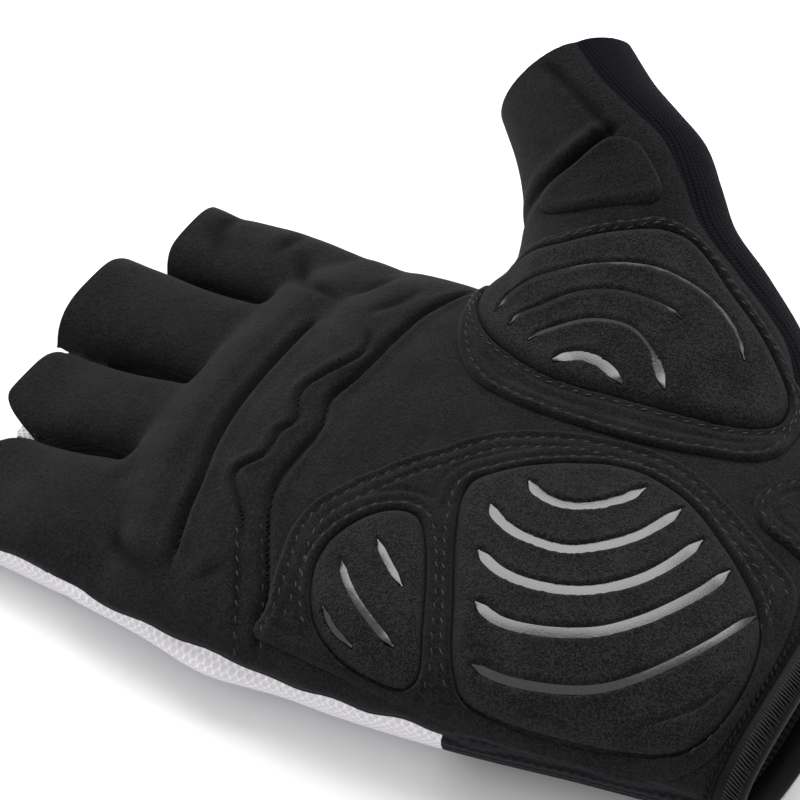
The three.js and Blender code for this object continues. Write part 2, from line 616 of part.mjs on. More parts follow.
function padShare(pad, x, y) {
  const angle = Math.atan2(y - pad.centre[1], x - pad.centre[0]);
  let edge = 1;
  const count = pad.outline.length;
  for (let i = 0; i < count; i += 1) {
    const [ax, ay] = pad.outline[i];
    const [bx, by] = pad.outline[(i + 1) % count];
    const dx = Math.cos(angle);
    const dy = Math.sin(angle);
    const ex = bx - ax;
    const ey = by - ay;
    const cross = dx * ey - dy * ex;
    const u = ((ax - pad.centre[0]) * ey - (ay - pad.centre[1]) * ex) / cross;
    const v = ((ax - pad.centre[0]) * dy - (ay - pad.centre[1]) * dx) / cross;
    if (u > 0 && v >= -1e-9 && v <= 1 + 1e-9) edge = u;
  }
  return Math.hypot(x - pad.centre[0], y - pad.centre[1]) / edge;
}

function padTop(pad, x, y) {
  const share = padShare(pad, x, y);
  let rise = 1;
  for (let i = 0; i < PAD_PROFILE.length - 1; i += 1) {
    const outer = PAD_PROFILE[i];
    const inner = PAD_PROFILE[i + 1];
    if (share <= outer.share && share >= inner.share) {
      const t = (outer.share - share) / (outer.share - inner.share);
      rise = outer.rise + (inner.rise - outer.rise) * t;
    }
  }
  if (share > 1) rise = PAD_PROFILE[0].rise;
  return skinTop(x, y) + SEAT_GAP + PAD_RISE * rise;
}

function padSolid(pad) {
  const [cx, cy] = pad.centre;
  const ringAt = (share, lift) => pad.outline.map(([x, y]) => {
    const px = cx + (x - cx) * share;
    const py = cy + (y - cy) * share;
    return [px, py, lift(px, py)];
  });
  const under = (x, y) => skinTop(x, y) - PAD_SEAT_DEPTH;
  const over = (x, y) => padTop(pad, x, y);
  const rings = [
    ...[0.5, 1.0].map((share) => ringAt(share, under)),
    ...PAD_PROFILE.map((row) => ringAt(row.share, over)),
  ];
  return loft(rings).subtract(skinSeat);
}

// The middle line of a groove, in plan, cut back at both ends by a clearance.
function arcLine(arc, trim) {
  const radius = arc.radius * PALM_WIDTH;
  const turn = trim / radius;
  const from = THREE.MathUtils.degToRad(arc.from) + turn;
  const sweep = THREE.MathUtils.degToRad(arc.to) - turn - from;
  const steps = Math.max(4, Math.round((radius * sweep) / GROOVE_STEP));
  return Array.from({ length: steps + 1 }, (_, i) => {
    const angle = from + (sweep * i) / steps;
    return new THREE.Vector2(
      ROOT_X + arc.at * PALM_LENGTH + radius * Math.cos(angle),
      arc.across * PALM_WIDTH + radius * Math.sin(angle),
    );
  });
}

function pointLine(row, trim) {
  const knots = row.points.map(([at, across]) => new THREE.Vector2(
    ROOT_X + at * PALM_LENGTH,
    across * PALM_WIDTH,
  ));
  const curve = new THREE.SplineCurve(knots);
  const length = curve.getLength();
  const steps = Math.max(4, Math.round(length / GROOVE_STEP));
  return Array.from({ length: steps + 1 }, (_, i) => {
    const share = trim / length + (1 - (2 * trim) / length) * (i / steps);
    return curve.getPointAt(share);
  });
}

// A bar along a line, from one height to another, both measured from the pad's top.
function barSolid(pad, line, width, low, high) {
  const rings = line.map((point, i) => {
    const before = line[Math.max(0, i - 1)];
    const after = line[Math.min(line.length - 1, i + 1)];
    const run = after.clone().sub(before).normalize();
    const across = new THREE.Vector2(-run.y, run.x).multiplyScalar(width / 2);
    const top = padTop(pad, point.x, point.y);
    return [
      [point.x - across.x, point.y - across.y, top + low],
      [point.x + across.x, point.y + across.y, top + low],
      [point.x + across.x, point.y + across.y, top + high],
      [point.x - across.x, point.y - across.y, top + high],
    ];
  });
  return loft(rings);
}

function groove(pad, line) {
  return barSolid(pad, line, GROOVE_WIDTH, -GROOVE_DEPTH, PAD_RISE);
}

function filmStrip(pad, line) {
  const low = SEAT_GAP - GROOVE_DEPTH;
  return barSolid(pad, line, GROOVE_WIDTH - SEAT_GAP * 2, low, low + FILM_THICKNESS);
}

function padWithGrooves(pad, lines) {
  return lines.reduce((solid, line) => solid.subtract(groove(pad, line)), padSolid(pad));
}

// A solid turned into a mesh geometry.
function geometryOf(solid) {
  const mesh = solid.getMesh();
  const geometry = new THREE.BufferGeometry();
  geometry.setAttribute("position", new THREE.BufferAttribute(new Float32Array(mesh.vertProperties), 3));
  geometry.setIndex(new THREE.BufferAttribute(new Uint32Array(mesh.triVerts), 1));
  return geometry;
}

const glove = new THREE.Group();
function addPiece(name, solid, material) {
  const geometry = geometryOf(solid);
  geometry.computeVertexNormals();
  const mesh = new THREE.Mesh(geometry, material);
  mesh.name = name;
  glove.add(mesh);
}

const heelPad = padOf(HEEL_PAD, 28);
const sidePad = padOf(SIDE_PAD, 20);
const thumbPad = padOf(THUMB_PAD, 26);

addPiece("palm_panel", palmPanel, SUEDE);
addPiece("back_panel", backPanel, MESH_CLOTH);
addPiece("cuff_back_panel", ribPanel, RIB_KNIT);
addPiece("thumb_back_panel", thumbBackPanel, NAVY_KNIT);
addPiece("cuff_binding", binding, TAPE);
slits.forEach(({ name, between }) => {
  addPiece(name, handShell.intersect(slitPrism(between, 0)), NAVY_KNIT);
});
addPiece("heel_overlay", overlayPiece(HEEL_OVERLAY, 36, [heelPad, sidePad]), SUEDE);
addPiece("thumb_overlay", overlayPiece(THUMB_OVERLAY, 30, [thumbPad]), SUEDE);
addPiece("thumb_patch", overlayPiece(THUMB_PATCH, 16, []), SUEDE);
addPiece("wrist_tab", overlayPiece(WRIST_TAB, 16, []), SUEDE);
const padGroups = [
  { name: "heel_pad", pad: heelPad, rows: HEEL_ARCS, line: arcLine },
  { name: "side_pad", pad: sidePad, rows: SIDE_ARCS, line: arcLine },
  { name: "thumb_pad", pad: thumbPad, rows: THUMB_GROOVES, line: pointLine },
];
padGroups.forEach(({ name, pad, rows, line }) => {
  addPiece(name, padWithGrooves(pad, rows.map((row) => line(row, 0))), SUEDE);
  rows.forEach((row) => addPiece(row.name, filmStrip(pad, line(row, SEAT_GAP * 1.5)), FILM));
});

// The origin is on the floor under the middle of the glove's box.
const box = new THREE.Box3().setFromObject(glove);
const middle = box.getCenter(new THREE.Vector3());
glove.children.forEach((mesh) => {
  mesh.geometry.translate(-middle.x, -middle.y, -box.min.z);
});

export default glove;
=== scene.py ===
# %% [markdown]
# # A fingerless cycling glove, lying palm up
# The real glove is sewn from soft cloth: a suede palm, a dimpled knit back, a ribbed
# knit at the wrist and dark knit between the fingers and behind the thumb. Suede
# overlays hold three stuffed pads, and each pad has grooves lined with glossy film.
# Each step below says what a piece is, how it could be made, and why this way was taken.

# %% The part that is dressed here
import bpy
import math
import numpy as np
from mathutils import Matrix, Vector
from mathutils.bvhtree import BVHTree


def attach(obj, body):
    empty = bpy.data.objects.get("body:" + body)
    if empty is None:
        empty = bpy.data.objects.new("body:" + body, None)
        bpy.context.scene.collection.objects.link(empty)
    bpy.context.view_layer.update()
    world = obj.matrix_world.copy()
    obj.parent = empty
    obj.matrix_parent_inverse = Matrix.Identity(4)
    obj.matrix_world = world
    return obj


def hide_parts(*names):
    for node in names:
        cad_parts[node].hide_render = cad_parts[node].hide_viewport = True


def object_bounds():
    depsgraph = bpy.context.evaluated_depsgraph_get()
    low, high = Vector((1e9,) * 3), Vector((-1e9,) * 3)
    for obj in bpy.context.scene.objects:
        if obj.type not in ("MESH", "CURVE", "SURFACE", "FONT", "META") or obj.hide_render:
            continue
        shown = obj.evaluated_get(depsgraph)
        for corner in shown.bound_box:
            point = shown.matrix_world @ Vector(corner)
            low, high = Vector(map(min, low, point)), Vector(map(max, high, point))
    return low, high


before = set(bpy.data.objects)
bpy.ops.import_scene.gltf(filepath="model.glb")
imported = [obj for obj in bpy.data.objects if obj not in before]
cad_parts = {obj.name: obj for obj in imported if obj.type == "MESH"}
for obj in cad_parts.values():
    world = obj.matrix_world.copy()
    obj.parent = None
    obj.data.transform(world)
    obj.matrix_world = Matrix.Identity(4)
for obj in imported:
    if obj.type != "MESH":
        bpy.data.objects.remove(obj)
cad_low, cad_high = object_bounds()
print("the CAD part measures", [round(1000 * v, 1) for v in cad_high - cad_low], "mm")

# %% [markdown]
# ## Plan coordinates
# The pieces are drawn in millimetres on the glove's own plan: x runs to the wrist,
# y to the thumb and z up from the floor. The part's origin is under the middle of its
# box, so the plan is moved there when a mesh becomes an object.

# %% Driving dimensions, in millimetres
PALM_LENGTH = 126.0
PALM_WIDTH = 105.0
PALM_THICKNESS = 29.0
SEAM_HEIGHT = 13.5
FINGER_LENGTH = 34.0
FINGER_THICKNESS = 17.0
FINGER_SEAM_HEIGHT = 10.0
SLIT_WIDTH = 3.2
THUMB_LENGTH = 87.0
THUMB_WIDTH = 57.0
THUMB_THICKNESS = 31.0
THUMB_HEADING = math.radians(137)
THUMB_CLIMB = math.radians(18.5)
CUFF_LEAN = 2.4
BINDING_WIDTH = 4.6
RIB_PANEL_LENGTH = 47.0
ROOT_X = -PALM_LENGTH * 0.325
CUFF_X = ROOT_X + PALM_LENGTH
PANEL_END_X = CUFF_X - BINDING_WIDTH - 0.3
VOXEL = 0.65
# The skins run past the openings, to be cut there: by millimetres, and by a share of the thumb.
END_PAST = 5.0
THUMB_PAST = 0.05
PALM_STEP = 1.5
# The fingers begin this far inside the palm, so that the remesh joins them to it.
FINGER_OVERLAP = 15
PALM_RING, FINGER_RING, THUMB_RING, CUFF_RING = 128, 72, 88, 256

# %% Sections of the palm, the fingers and the thumb
# Columns: at, ulnar and radial edge, seam height, top height, each as a share.
PALM = np.array([
    [0.0, -0.538, 0.412, 0.775, 0.6], [0.032, -0.545, 0.414, 0.79, 0.697],
    [0.063, -0.55, 0.414, 0.81, 0.759], [0.091, -0.552, 0.413, 0.82, 0.762],
    [0.115, -0.554, 0.411, 0.84, 0.745], [0.151, -0.556, 0.41, 0.86, 0.834],
    [0.198, -0.557, 0.41, 0.89, 0.883], [0.238, -0.557, 0.412, 0.905, 0.883],
    [0.258, -0.557, 0.414, 0.91, 0.869], [0.302, -0.557, 0.419, 0.92, 0.917],
    [0.389, -0.554, 0.429, 0.94, 0.945], [0.484, -0.548, 0.443, 0.965, 0.966],
    [0.643, -0.519, 0.448, 1.0, 1.0], [0.802, -0.476, 0.414, 1.0, 1.0],
    [0.921, -0.443, 0.381, 0.96, 0.931], [1.0, -0.424, 0.362, 0.925, 0.862],
])
ULNAR, RADIAL, SEAM, TOP = 1, 2, 3, 4
# The lines between the fingers, from the thumb's side: shares of the width at root and tip.
FINGER_LINES = [(0.42, 0.414), (0.205, 0.196), (-0.043, -0.067), (-0.256, -0.284), (-0.535, -0.523)]
FINGER_REACH = [0.81, 1.0, 0.95, 0.78]
FINGER_TIP_THICKNESS = [14.3, 16.8, 12.2, 12.0]
# Columns: along, side shift, lift, half width, half thickness, roll in degrees.
THUMB = np.array([
    [0.0, 0.0, 0.0, 0.351, 0.452, 4], [0.184, -0.044, -0.048, 0.456, 0.5, 8],
    [0.356, -0.116, -0.09, 0.502, 0.484, 14], [0.483, -0.109, -0.074, 0.449, 0.452, 20],
    [0.586, -0.042, -0.026, 0.389, 0.429, 28], [0.69, 0.005, 0.01, 0.351, 0.413, 36],
    [0.782, 0.007, 0.019, 0.314, 0.4, 44], [0.885, 0.0, 0.006, 0.284, 0.387, 52],
    [1.0, -0.005, -0.019, 0.277, 0.365, 58],
])
SHIFT, LIFT, HALF, THICK, ROLL = 1, 2, 3, 4, 5
THUMB_START = np.array([ROOT_X + 0.762 * PALM_LENGTH, 0.229 * PALM_WIDTH, 0.517 * PALM_THICKNESS])
# How far the knuckle folds bow towards the wrist, by their place across the palm.
FOLD_BOW = np.array([
    [-58, 12.0], [-51, 9.2], [-46, 7.4], [-39, 4.4], [-30, 1.2], [-20, -0.2],
    [-10, -1.2], [0, -1.2], [10, -0.5], [23, 0.5], [37, 4.0], [45, 5.0],
])

# %% Smooth reading of a table
def smooth_at(table, column, x):
    """The value of a column at x, on a smooth curve through the table's rows."""
    keys, values = table[:, 0], table[:, column]
    slopes = np.empty(len(keys))
    slopes[1:-1] = (values[2:] - values[:-2]) / (keys[2:] - keys[:-2])
    slopes[0] = (values[1] - values[0]) / (keys[1] - keys[0])
    slopes[-1] = (values[-1] - values[-2]) / (keys[-1] - keys[-2])
    i = np.clip(np.searchsorted(keys, x) - 1, 0, len(keys) - 2)
    gap = keys[i + 1] - keys[i]
    free = (x - keys[i]) / gap
    t = np.clip(free, 0, 1)
    curve = (2 * t**3 - 3 * t**2 + 1) * values[i] + (3 * t**2 - 2 * t**3) * values[i + 1]
    curve += gap * ((t**3 - 2 * t**2 + t) * slopes[i] + (t**3 - t**2) * slopes[i + 1])
    return curve + gap * (free - t) * np.where(free > 0, slopes[i + 1], slopes[i])


def ramp(value, start, end):
    """0 before start, 1 after end, and smooth between them."""
    t = np.clip((value - start) / (end - start), 0, 1)
    return t * t * (3 - 2 * t)


def bend(value, power):
    """A signed power, for sections that are fuller than an ellipse."""
    return np.sign(value) * np.abs(value) ** power


def bell(value, width):
    """1 where the value is 0, and falling to 0 on both sides within about twice the width."""
    return np.exp(-((value / width) ** 2))


def palm_edge(side, x):
    """Where the palm's ulnar or radial edge lies across the plan."""
    return smooth_at(PALM, side, (x - ROOT_X) / PALM_LENGTH) * PALM_WIDTH


def lengths_of(vectors):
    return np.linalg.norm(vectors, axis=1)


def runs_along(line):
    """The length run along a line at each of its points."""
    return np.concatenate([[0], np.cumsum(lengths_of(np.diff(line, axis=0)))])


# The part's plan is moved by this to reach its origin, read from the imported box.
TIP_X = ROOT_X - FINGER_LENGTH
ULNAR_Y = PALM[:, ULNAR].min() * PALM_WIDTH
PLAN_SHIFT = np.array([1000 * cad_low.x - TIP_X, 1000 * cad_low.y - ULNAR_Y, 0.0])
print("the plan moves by", PLAN_SHIFT.round(2), "mm")

# %% [markdown]
# ## Helpers for meshes
# Numpy keeps points and triangles of a mesh as plain arrays, which makes cutting and
# shaping quick. An object is made only when a piece is finished.

# %% Meshes from arrays
# A length that counts as none, and a value near a cut that counts as on it.
TINY = 1e-9
SNAP = 0.06


def new_mesh(name, points, faces):
    mesh = bpy.data.meshes.new(name)
    mesh.from_pydata(points, [], faces)
    mesh.validate()
    mesh.update()
    return mesh


def add_object(name, data):
    made = bpy.data.objects.new(name, data)
    bpy.context.scene.collection.objects.link(made)
    return made


def plan_object(name, points, faces, material):
    """An object in the part's frame, from points in plan millimetres."""
    made = add_object(name, new_mesh(name, (points + PLAN_SHIFT) / 1000, faces))
    made.data.materials.append(material)
    return made


def shaded(made, sharp_from):
    """Smooth shading, with sharp edges from an angle in degrees."""
    made.data.shade_smooth()
    made.data.set_sharp_from_angle(angle=math.radians(sharp_from))


def dress(piece, node):
    """The piece rides on the glove's one body, in place of a CAD node."""
    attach(piece, "root")
    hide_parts(node)


def points_of(mesh):
    points = np.empty(len(mesh.vertices) * 3)
    mesh.vertices.foreach_get("co", points)
    return points.reshape(-1, 3)


def arrays_of(mesh):
    """Points and triangles of a mesh."""
    mesh.calc_loop_triangles()
    faces = np.empty(len(mesh.loop_triangles) * 3, dtype=np.int32)
    mesh.loop_triangles.foreach_get("vertices", faces)
    return points_of(mesh), faces.reshape(-1, 3)


def applied(made):
    """The object with its modifiers turned into plain mesh."""
    depsgraph = bpy.context.evaluated_depsgraph_get()
    mesh = bpy.data.meshes.new_from_object(made.evaluated_get(depsgraph))
    old = made.data
    made.modifiers.clear()
    made.data = mesh
    bpy.data.meshes.remove(old)
    mesh.name = made.name
    return made


def used_only(points, faces):
    """Drops the points that no face uses."""
    kept, order = np.unique(faces.ravel(), return_inverse=True)
    return points[kept], order.reshape(-1, 3)


def sides_of(faces):
    """The three sides of each triangle, in its own direction."""
    return np.vstack([faces[:, [0, 1]], faces[:, [1, 2]], faces[:, [2, 0]]])


def edges_of(faces):
    return np.unique(np.sort(sides_of(faces), axis=1), axis=0)


def point_normals(points, faces):
    a, b, c = points[faces[:, 0]], points[faces[:, 1]], points[faces[:, 2]]
    across = np.cross(b - a, c - a)
    total = np.zeros_like(points)
    for k in range(3):
        for axis in range(3):
            total[:, axis] += np.bincount(faces[:, k], across[:, axis], len(points))
    return total / np.maximum(lengths_of(total), TINY)[:, None]


def relaxed(points, faces, weight, rounds):
    """Moves each point towards the middle of its neighbours."""
    edges = edges_of(faces)
    count = np.maximum(np.bincount(edges.ravel(), minlength=len(points)), 1)[:, None]
    weight = np.broadcast_to(weight, len(points))[:, None]
    for _ in range(rounds):
        total = np.zeros_like(points)
        for axis in range(3):
            there = points[:, axis]
            total[:, axis] = np.bincount(edges[:, 0], there[edges[:, 1]], len(points))
            total[:, axis] += np.bincount(edges[:, 1], there[edges[:, 0]], len(points))
        points = points + weight * (total / count - points)
    return points


# %% Cutting a mesh along a line where a value is zero
def split_at_zero(points, faces, values):
    """Adds points where values cross zero, so that each face lies on one side."""
    values = np.where(np.abs(values) < SNAP, 0.0, values)
    sides = np.stack([faces[:, [0, 1]], faces[:, [1, 2]], faces[:, [2, 0]]])
    crosses = values[sides[..., 0]] * values[sides[..., 1]] < 0
    pairs, order = np.unique(np.sort(sides[crosses], axis=1), axis=0, return_inverse=True)
    share = (values[pairs[:, 0]] / (values[pairs[:, 0]] - values[pairs[:, 1]]))[:, None]
    new_points = points[pairs[:, 0]] * (1 - share) + points[pairs[:, 1]] * share
    cut = np.full(crosses.shape, -1)
    cut[crosses] = len(points) + order.ravel()
    cut = cut.T
    number = (cut >= 0).sum(axis=1)
    made = [faces[number == 0]]
    for k in range(3):
        a, b, c = faces[:, k], faces[:, (k + 1) % 3], faces[:, (k + 2) % 3]
        first, far, last = cut[:, k], cut[:, (k + 1) % 3], cut[:, (k + 2) % 3]
        two = (number == 2) & (far < 0)
        made.append(np.stack([a, first, last], axis=1)[two])
        made.append(np.stack([first, b, c], axis=1)[two])
        made.append(np.stack([first, c, last], axis=1)[two])
        one = (number == 1) & (far >= 0)
        made.append(np.stack([a, b, far], axis=1)[one])
        made.append(np.stack([a, far, c], axis=1)[one])
    values = np.concatenate([values, np.zeros(len(new_points))])
    return np.vstack([points, new_points]), np.vstack(made), values


def kept_where(points, faces, field, low=0.0):
    """The part of a mesh where field(points) is above low."""
    points, faces, values = split_at_zero(points, faces, field(points) - low)
    return used_only(points, faces[values[faces].sum(axis=1) > 0])


print("mesh helpers are ready")

# %% [markdown]
# ## The form that the hand gave the glove
# A worn glove keeps a rounded palm, four short tubes and a thumb that stands off. The
# parts could be modelled one by one, but cloth runs over them without a step. So the
# palm, the fingers and the thumb are skinned from their sections, joined into one closed
# form by a voxel remesh, and relaxed where they meet. The ends run past the openings
# and are cut there, which leaves clean hems.

# %% Skins from sections
def skinned(rings):
    """A closed mesh over rings of points."""
    count = len(rings[0])
    points = np.vstack(rings)
    faces = []
    for i in range(len(rings) - 1):
        for j in range(count):
            a, b = i * count + j, i * count + (j + 1) % count
            faces.append((a, b, b + count, a + count))
    faces.append(tuple(range(count))[::-1])
    faces.append(tuple(range((len(rings) - 1) * count, len(rings) * count)))
    return points, faces


def around(count):
    angle = np.linspace(0, 2 * math.pi, count, endpoint=False)
    return np.cos(angle), np.sin(angle)


def palm_ring(x, inset=0.0, count=PALM_RING):
    c, s = around(count)
    at = (x - ROOT_X) / PALM_LENGTH
    ulnar = palm_edge(ULNAR, x) + inset
    radial = palm_edge(RADIAL, x) - inset
    seam = smooth_at(PALM, SEAM, at) * SEAM_HEIGHT
    y = (ulnar + radial) / 2 + (radial - ulnar) / 2 * bend(c, 0.72)
    bow = np.interp(y, FOLD_BOW[:, 0], FOLD_BOW[:, 1]) * (1 - ramp(x, 0, 30))
    top = smooth_at(PALM, TOP, np.maximum(0, at - bow / PALM_LENGTH)) * PALM_THICKNESS - inset
    above = seam + (top - seam) * np.abs(s) ** 0.85
    below = np.maximum(max(0, inset), seam - (seam * 1.05 - inset) * np.abs(s) ** 0.7)
    z = np.where(s < 0, below, above)
    lean = CUFF_LEAN * max(0, (at - 0.8) / 0.2)
    return np.stack([x + lean * (1 - z / PALM_THICKNESS), y, z], axis=1)


def palm_skin():
    end = CUFF_X + END_PAST
    steps = int((end - ROOT_X) / PALM_STEP)
    return skinned([palm_ring(x) for x in np.linspace(ROOT_X, end, steps)])


def finger_tip(i):
    return ROOT_X - FINGER_REACH[i] * FINGER_LENGTH


def finger_line(i, x):
    root, tip = FINGER_LINES[i]
    return PALM_WIDTH * (root + (tip - root) * (ROOT_X - x) / FINGER_LENGTH)


def slit_width(x):
    """A slit is a lens: nearly shut at the fingertips and widest a third of the way out."""
    out = (ROOT_X - x) / FINGER_LENGTH
    return 0.6 + (SLIT_WIDTH - 0.6) * ramp(out, -0.05, 0.3) * (1 - ramp(out, 0.35, 0.8))


def finger_seam(x):
    """The fingers thin out to their tips, and their side seam drops with them."""
    return FINGER_SEAM_HEIGHT - 2.0 * ramp(x, ROOT_X - 5, ROOT_X - 30)


def finger_skin(i):
    rings = []
    for x in np.linspace(ROOT_X + FINGER_OVERLAP, finger_tip(i) - END_PAST, 30):
        c, s = around(FINGER_RING)
        depth = 1.0 - 0.5 * ramp(x, ROOT_X, ROOT_X + FINGER_OVERLAP)
        flare = 0.7 * ramp(x, finger_tip(i) + 8, finger_tip(i))
        thinner = (FINGER_TIP_THICKNESS[i] - FINGER_THICKNESS) * ramp(x, ROOT_X, finger_tip(i))
        thick = FINGER_THICKNESS + thinner
        far = finger_line(i, x) + flare - (slit_width(x) / 2 + flare if i > 0 else 0)
        near = finger_line(i + 1, x) - flare + (slit_width(x) / 2 + flare if i < 3 else 0)
        y = (far + near) / 2 + (far - near) / 2 * bend(c, 0.7) * (0.7 + 0.3 * depth)
        above = finger_seam(x) + (thick + flare - finger_seam(x)) * np.abs(s) ** 0.85
        under = finger_seam(x) * 1.05 * depth
        below = np.maximum(0, finger_seam(x) - under * np.abs(s) ** 0.8)
        rings.append(np.stack([np.full(FINGER_RING, x), y, np.where(s < 0, below, above)], axis=1))
    return skinned(rings)


# %% The thumb's own directions
thumb_axis = np.array([
    math.cos(THUMB_HEADING) * math.cos(THUMB_CLIMB),
    math.sin(THUMB_HEADING) * math.cos(THUMB_CLIMB),
    math.sin(THUMB_CLIMB),
])
thumb_up = np.array([0, 0, 1.0]) - thumb_axis * thumb_axis[2]
thumb_up /= np.linalg.norm(thumb_up)
thumb_side = np.cross(thumb_axis, thumb_up)


def thumb_frame(along):
    """Centre, side, up, half width and half thickness of the thumb's sections."""
    along = np.atleast_1d(along)
    roll = np.radians(smooth_at(THUMB, ROLL, along))[:, None]
    side = np.cos(roll) * thumb_side + np.sin(roll) * thumb_up
    up = np.cos(roll) * thumb_up - np.sin(roll) * thumb_side
    centre = THUMB_START + along[:, None] * THUMB_LENGTH * thumb_axis
    centre = centre + smooth_at(THUMB, SHIFT, along)[:, None] * THUMB_WIDTH * thumb_side
    centre = centre + smooth_at(THUMB, LIFT, along)[:, None] * THUMB_THICKNESS * thumb_up
    half = smooth_at(THUMB, HALF, along) * THUMB_WIDTH
    thick = smooth_at(THUMB, THICK, along) * THUMB_THICKNESS
    return centre, side, up, half, thick


def thumb_skin():
    rings = []
    for along in np.linspace(0, 1 + THUMB_PAST, 50):
        centre, side, up, half, thick = thumb_frame(along)
        c, s = around(THUMB_RING)
        across = half * bend(c, 0.85)
        height = thick * bend(s, 0.9)
        rings.append(centre + across[:, None] * side + height[:, None] * up)
    return skinned(rings)


def thumb_places(points):
    """Where points lie: along the thumb as a share, and across and above it in millimetres.
    The last two results are the half width and half thickness of the thumb there."""
    along = (points - THUMB_START) @ thumb_axis / THUMB_LENGTH
    centre, side, up, half, thick = thumb_frame(np.clip(along, -0.2, 1.2))
    off = points - centre
    return along, (off * side).sum(axis=1), (off * up).sum(axis=1), half, thick


# %% Joined form
skins = [palm_skin(), thumb_skin()] + [finger_skin(i) for i in range(4)]
palm_tree, thumb_tree = [BVHTree.FromPolygons(points.tolist(), faces) for points, faces in skins[:2]]
all_points, all_faces, start = [], [], 0
for points, faces in skins:
    all_points.extend(points.tolist())
    all_faces.extend([tuple(v + start for v in face) for face in faces])
    start += len(points)
form = add_object("form", new_mesh("form", all_points, all_faces))
remesh = form.modifiers.new("join", "REMESH")
remesh.mode = "VOXEL"
remesh.voxel_size = VOXEL
applied(form)
form_points, form_faces = arrays_of(form.data)
print("the joined form has", len(form_points), "points")

# %% [markdown]
# ## Cloth finishes
# Suede, knit and film could be painted images, but a pattern worked out by shader nodes
# stays sharp at any distance and takes no file. Effects that more than one material
# uses are node groups, built once. The shader itself stays in each material, and values
# that are the same all over the cloth are set on its own sockets.

# %% Helpers for node trees
def node_group(name, inputs, outputs):
    """A shader node group with named sockets, and its input and output nodes."""
    group = bpy.data.node_groups.new(name, "ShaderNodeTree")
    for socket, kind, value in inputs:
        made = group.interface.new_socket(name=socket, in_out="INPUT", socket_type=kind)
        if value is not None:
            made.default_value = value
    for socket, kind in outputs:
        group.interface.new_socket(name=socket, in_out="OUTPUT", socket_type=kind)
    return group, group.nodes.new("NodeGroupInput"), group.nodes.new("NodeGroupOutput")


def feed(tree, node, inputs):
    """Links a node's inputs to sockets or sets them to values, by name or number."""
    for key, value in inputs.items():
        if isinstance(value, bpy.types.NodeSocket):
            tree.links.new(value, node.inputs[key])
        else:
            node.inputs[key].default_value = value
    return node


def fed_node(tree, kind, inputs):
    return feed(tree, tree.nodes.new(kind), inputs)


def math_node(tree, operation, first, second=0.0, third=0.0):
    """One Math node whose inputs are sockets or numbers. Returns its output socket."""
    node = tree.nodes.new("ShaderNodeMath")
    node.operation = operation
    return feed(tree, node, {0: first, 1: second, 2: third}).outputs[0]


def vector_node(tree, operation, first, second=(0.0, 0.0, 0.0)):
    node = tree.nodes.new("ShaderNodeVectorMath")
    node.operation = operation
    feed(tree, node, {0: first, 1: second})
    return node.outputs["Value"] if operation == "LENGTH" else node.outputs["Vector"]


def noise_node(tree, vector, scale, detail, roughness):
    inputs = {"Vector": vector, "Scale": scale, "Detail": detail, "Roughness": roughness}
    return fed_node(tree, "ShaderNodeTexNoise", inputs).outputs["Fac"]


# %% Nap: the fibres of suede
nap, nap_in, nap_out = node_group(
    "nap",
    [("Vector", "NodeSocketVector", None), ("Fibre", "NodeSocketFloat", 2.4)],
    [("Height", "NodeSocketFloat"), ("Shade", "NodeSocketFloat")],
)
nap_fine = noise_node(nap, nap_in.outputs["Vector"], 1.0, 4.0, 0.7)
nap.links.new(nap_in.outputs["Fibre"], nap_fine.node.inputs["Scale"])
nap_tuft = noise_node(nap, nap_in.outputs["Vector"], 1.1, 3.0, 0.6)
nap_cloud = noise_node(nap, nap_in.outputs["Vector"], 0.16, 2.0, 0.5)
nap_height = math_node(nap, "MULTIPLY_ADD", nap_tuft, 0.8, nap_fine)
nap_shade = math_node(nap, "MULTIPLY_ADD", nap_tuft, 0.18, math_node(nap, "MULTIPLY", nap_fine, 1.1))
nap_shade = math_node(nap, "MULTIPLY_ADD", nap_cloud, 0.2, nap_shade)
nap.links.new(nap_height, nap_out.inputs["Height"])
nap.links.new(nap_shade, nap_out.inputs["Shade"])

# %% Dimples: the little pits of mesh cloth, set like the five on a die
dimples, dimples_in, dimples_out = node_group(
    "dimples",
    [("Vector", "NodeSocketVector", None)],
    [("Height", "NodeSocketFloat"), ("Pit", "NodeSocketFloat")],
)
HALF_CELL = (0.5, 0.5, 0.0)


def from_cell_middle(place):
    """Distance from the middle of the square cell that a place lies in."""
    off = vector_node(dimples, "SUBTRACT", vector_node(dimples, "FRACTION", place), HALF_CELL)
    return vector_node(dimples, "LENGTH", off)


moved_on = vector_node(dimples, "ADD", dimples_in.outputs["Vector"], HALF_CELL)
nearest = math_node(dimples, "MINIMUM", from_cell_middle(dimples_in.outputs["Vector"]),
                    from_cell_middle(moved_on))
pit = fed_node(dimples, "ShaderNodeMapRange", {"Value": nearest, "From Min": 0.1, "From Max": 0.42})
pit.interpolation_type = "SMOOTHSTEP"
dimples.links.new(pit.outputs["Result"], dimples_out.inputs["Height"])
dimples.links.new(math_node(dimples, "SUBTRACT", 1.0, pit.outputs["Result"]), dimples_out.inputs["Pit"])

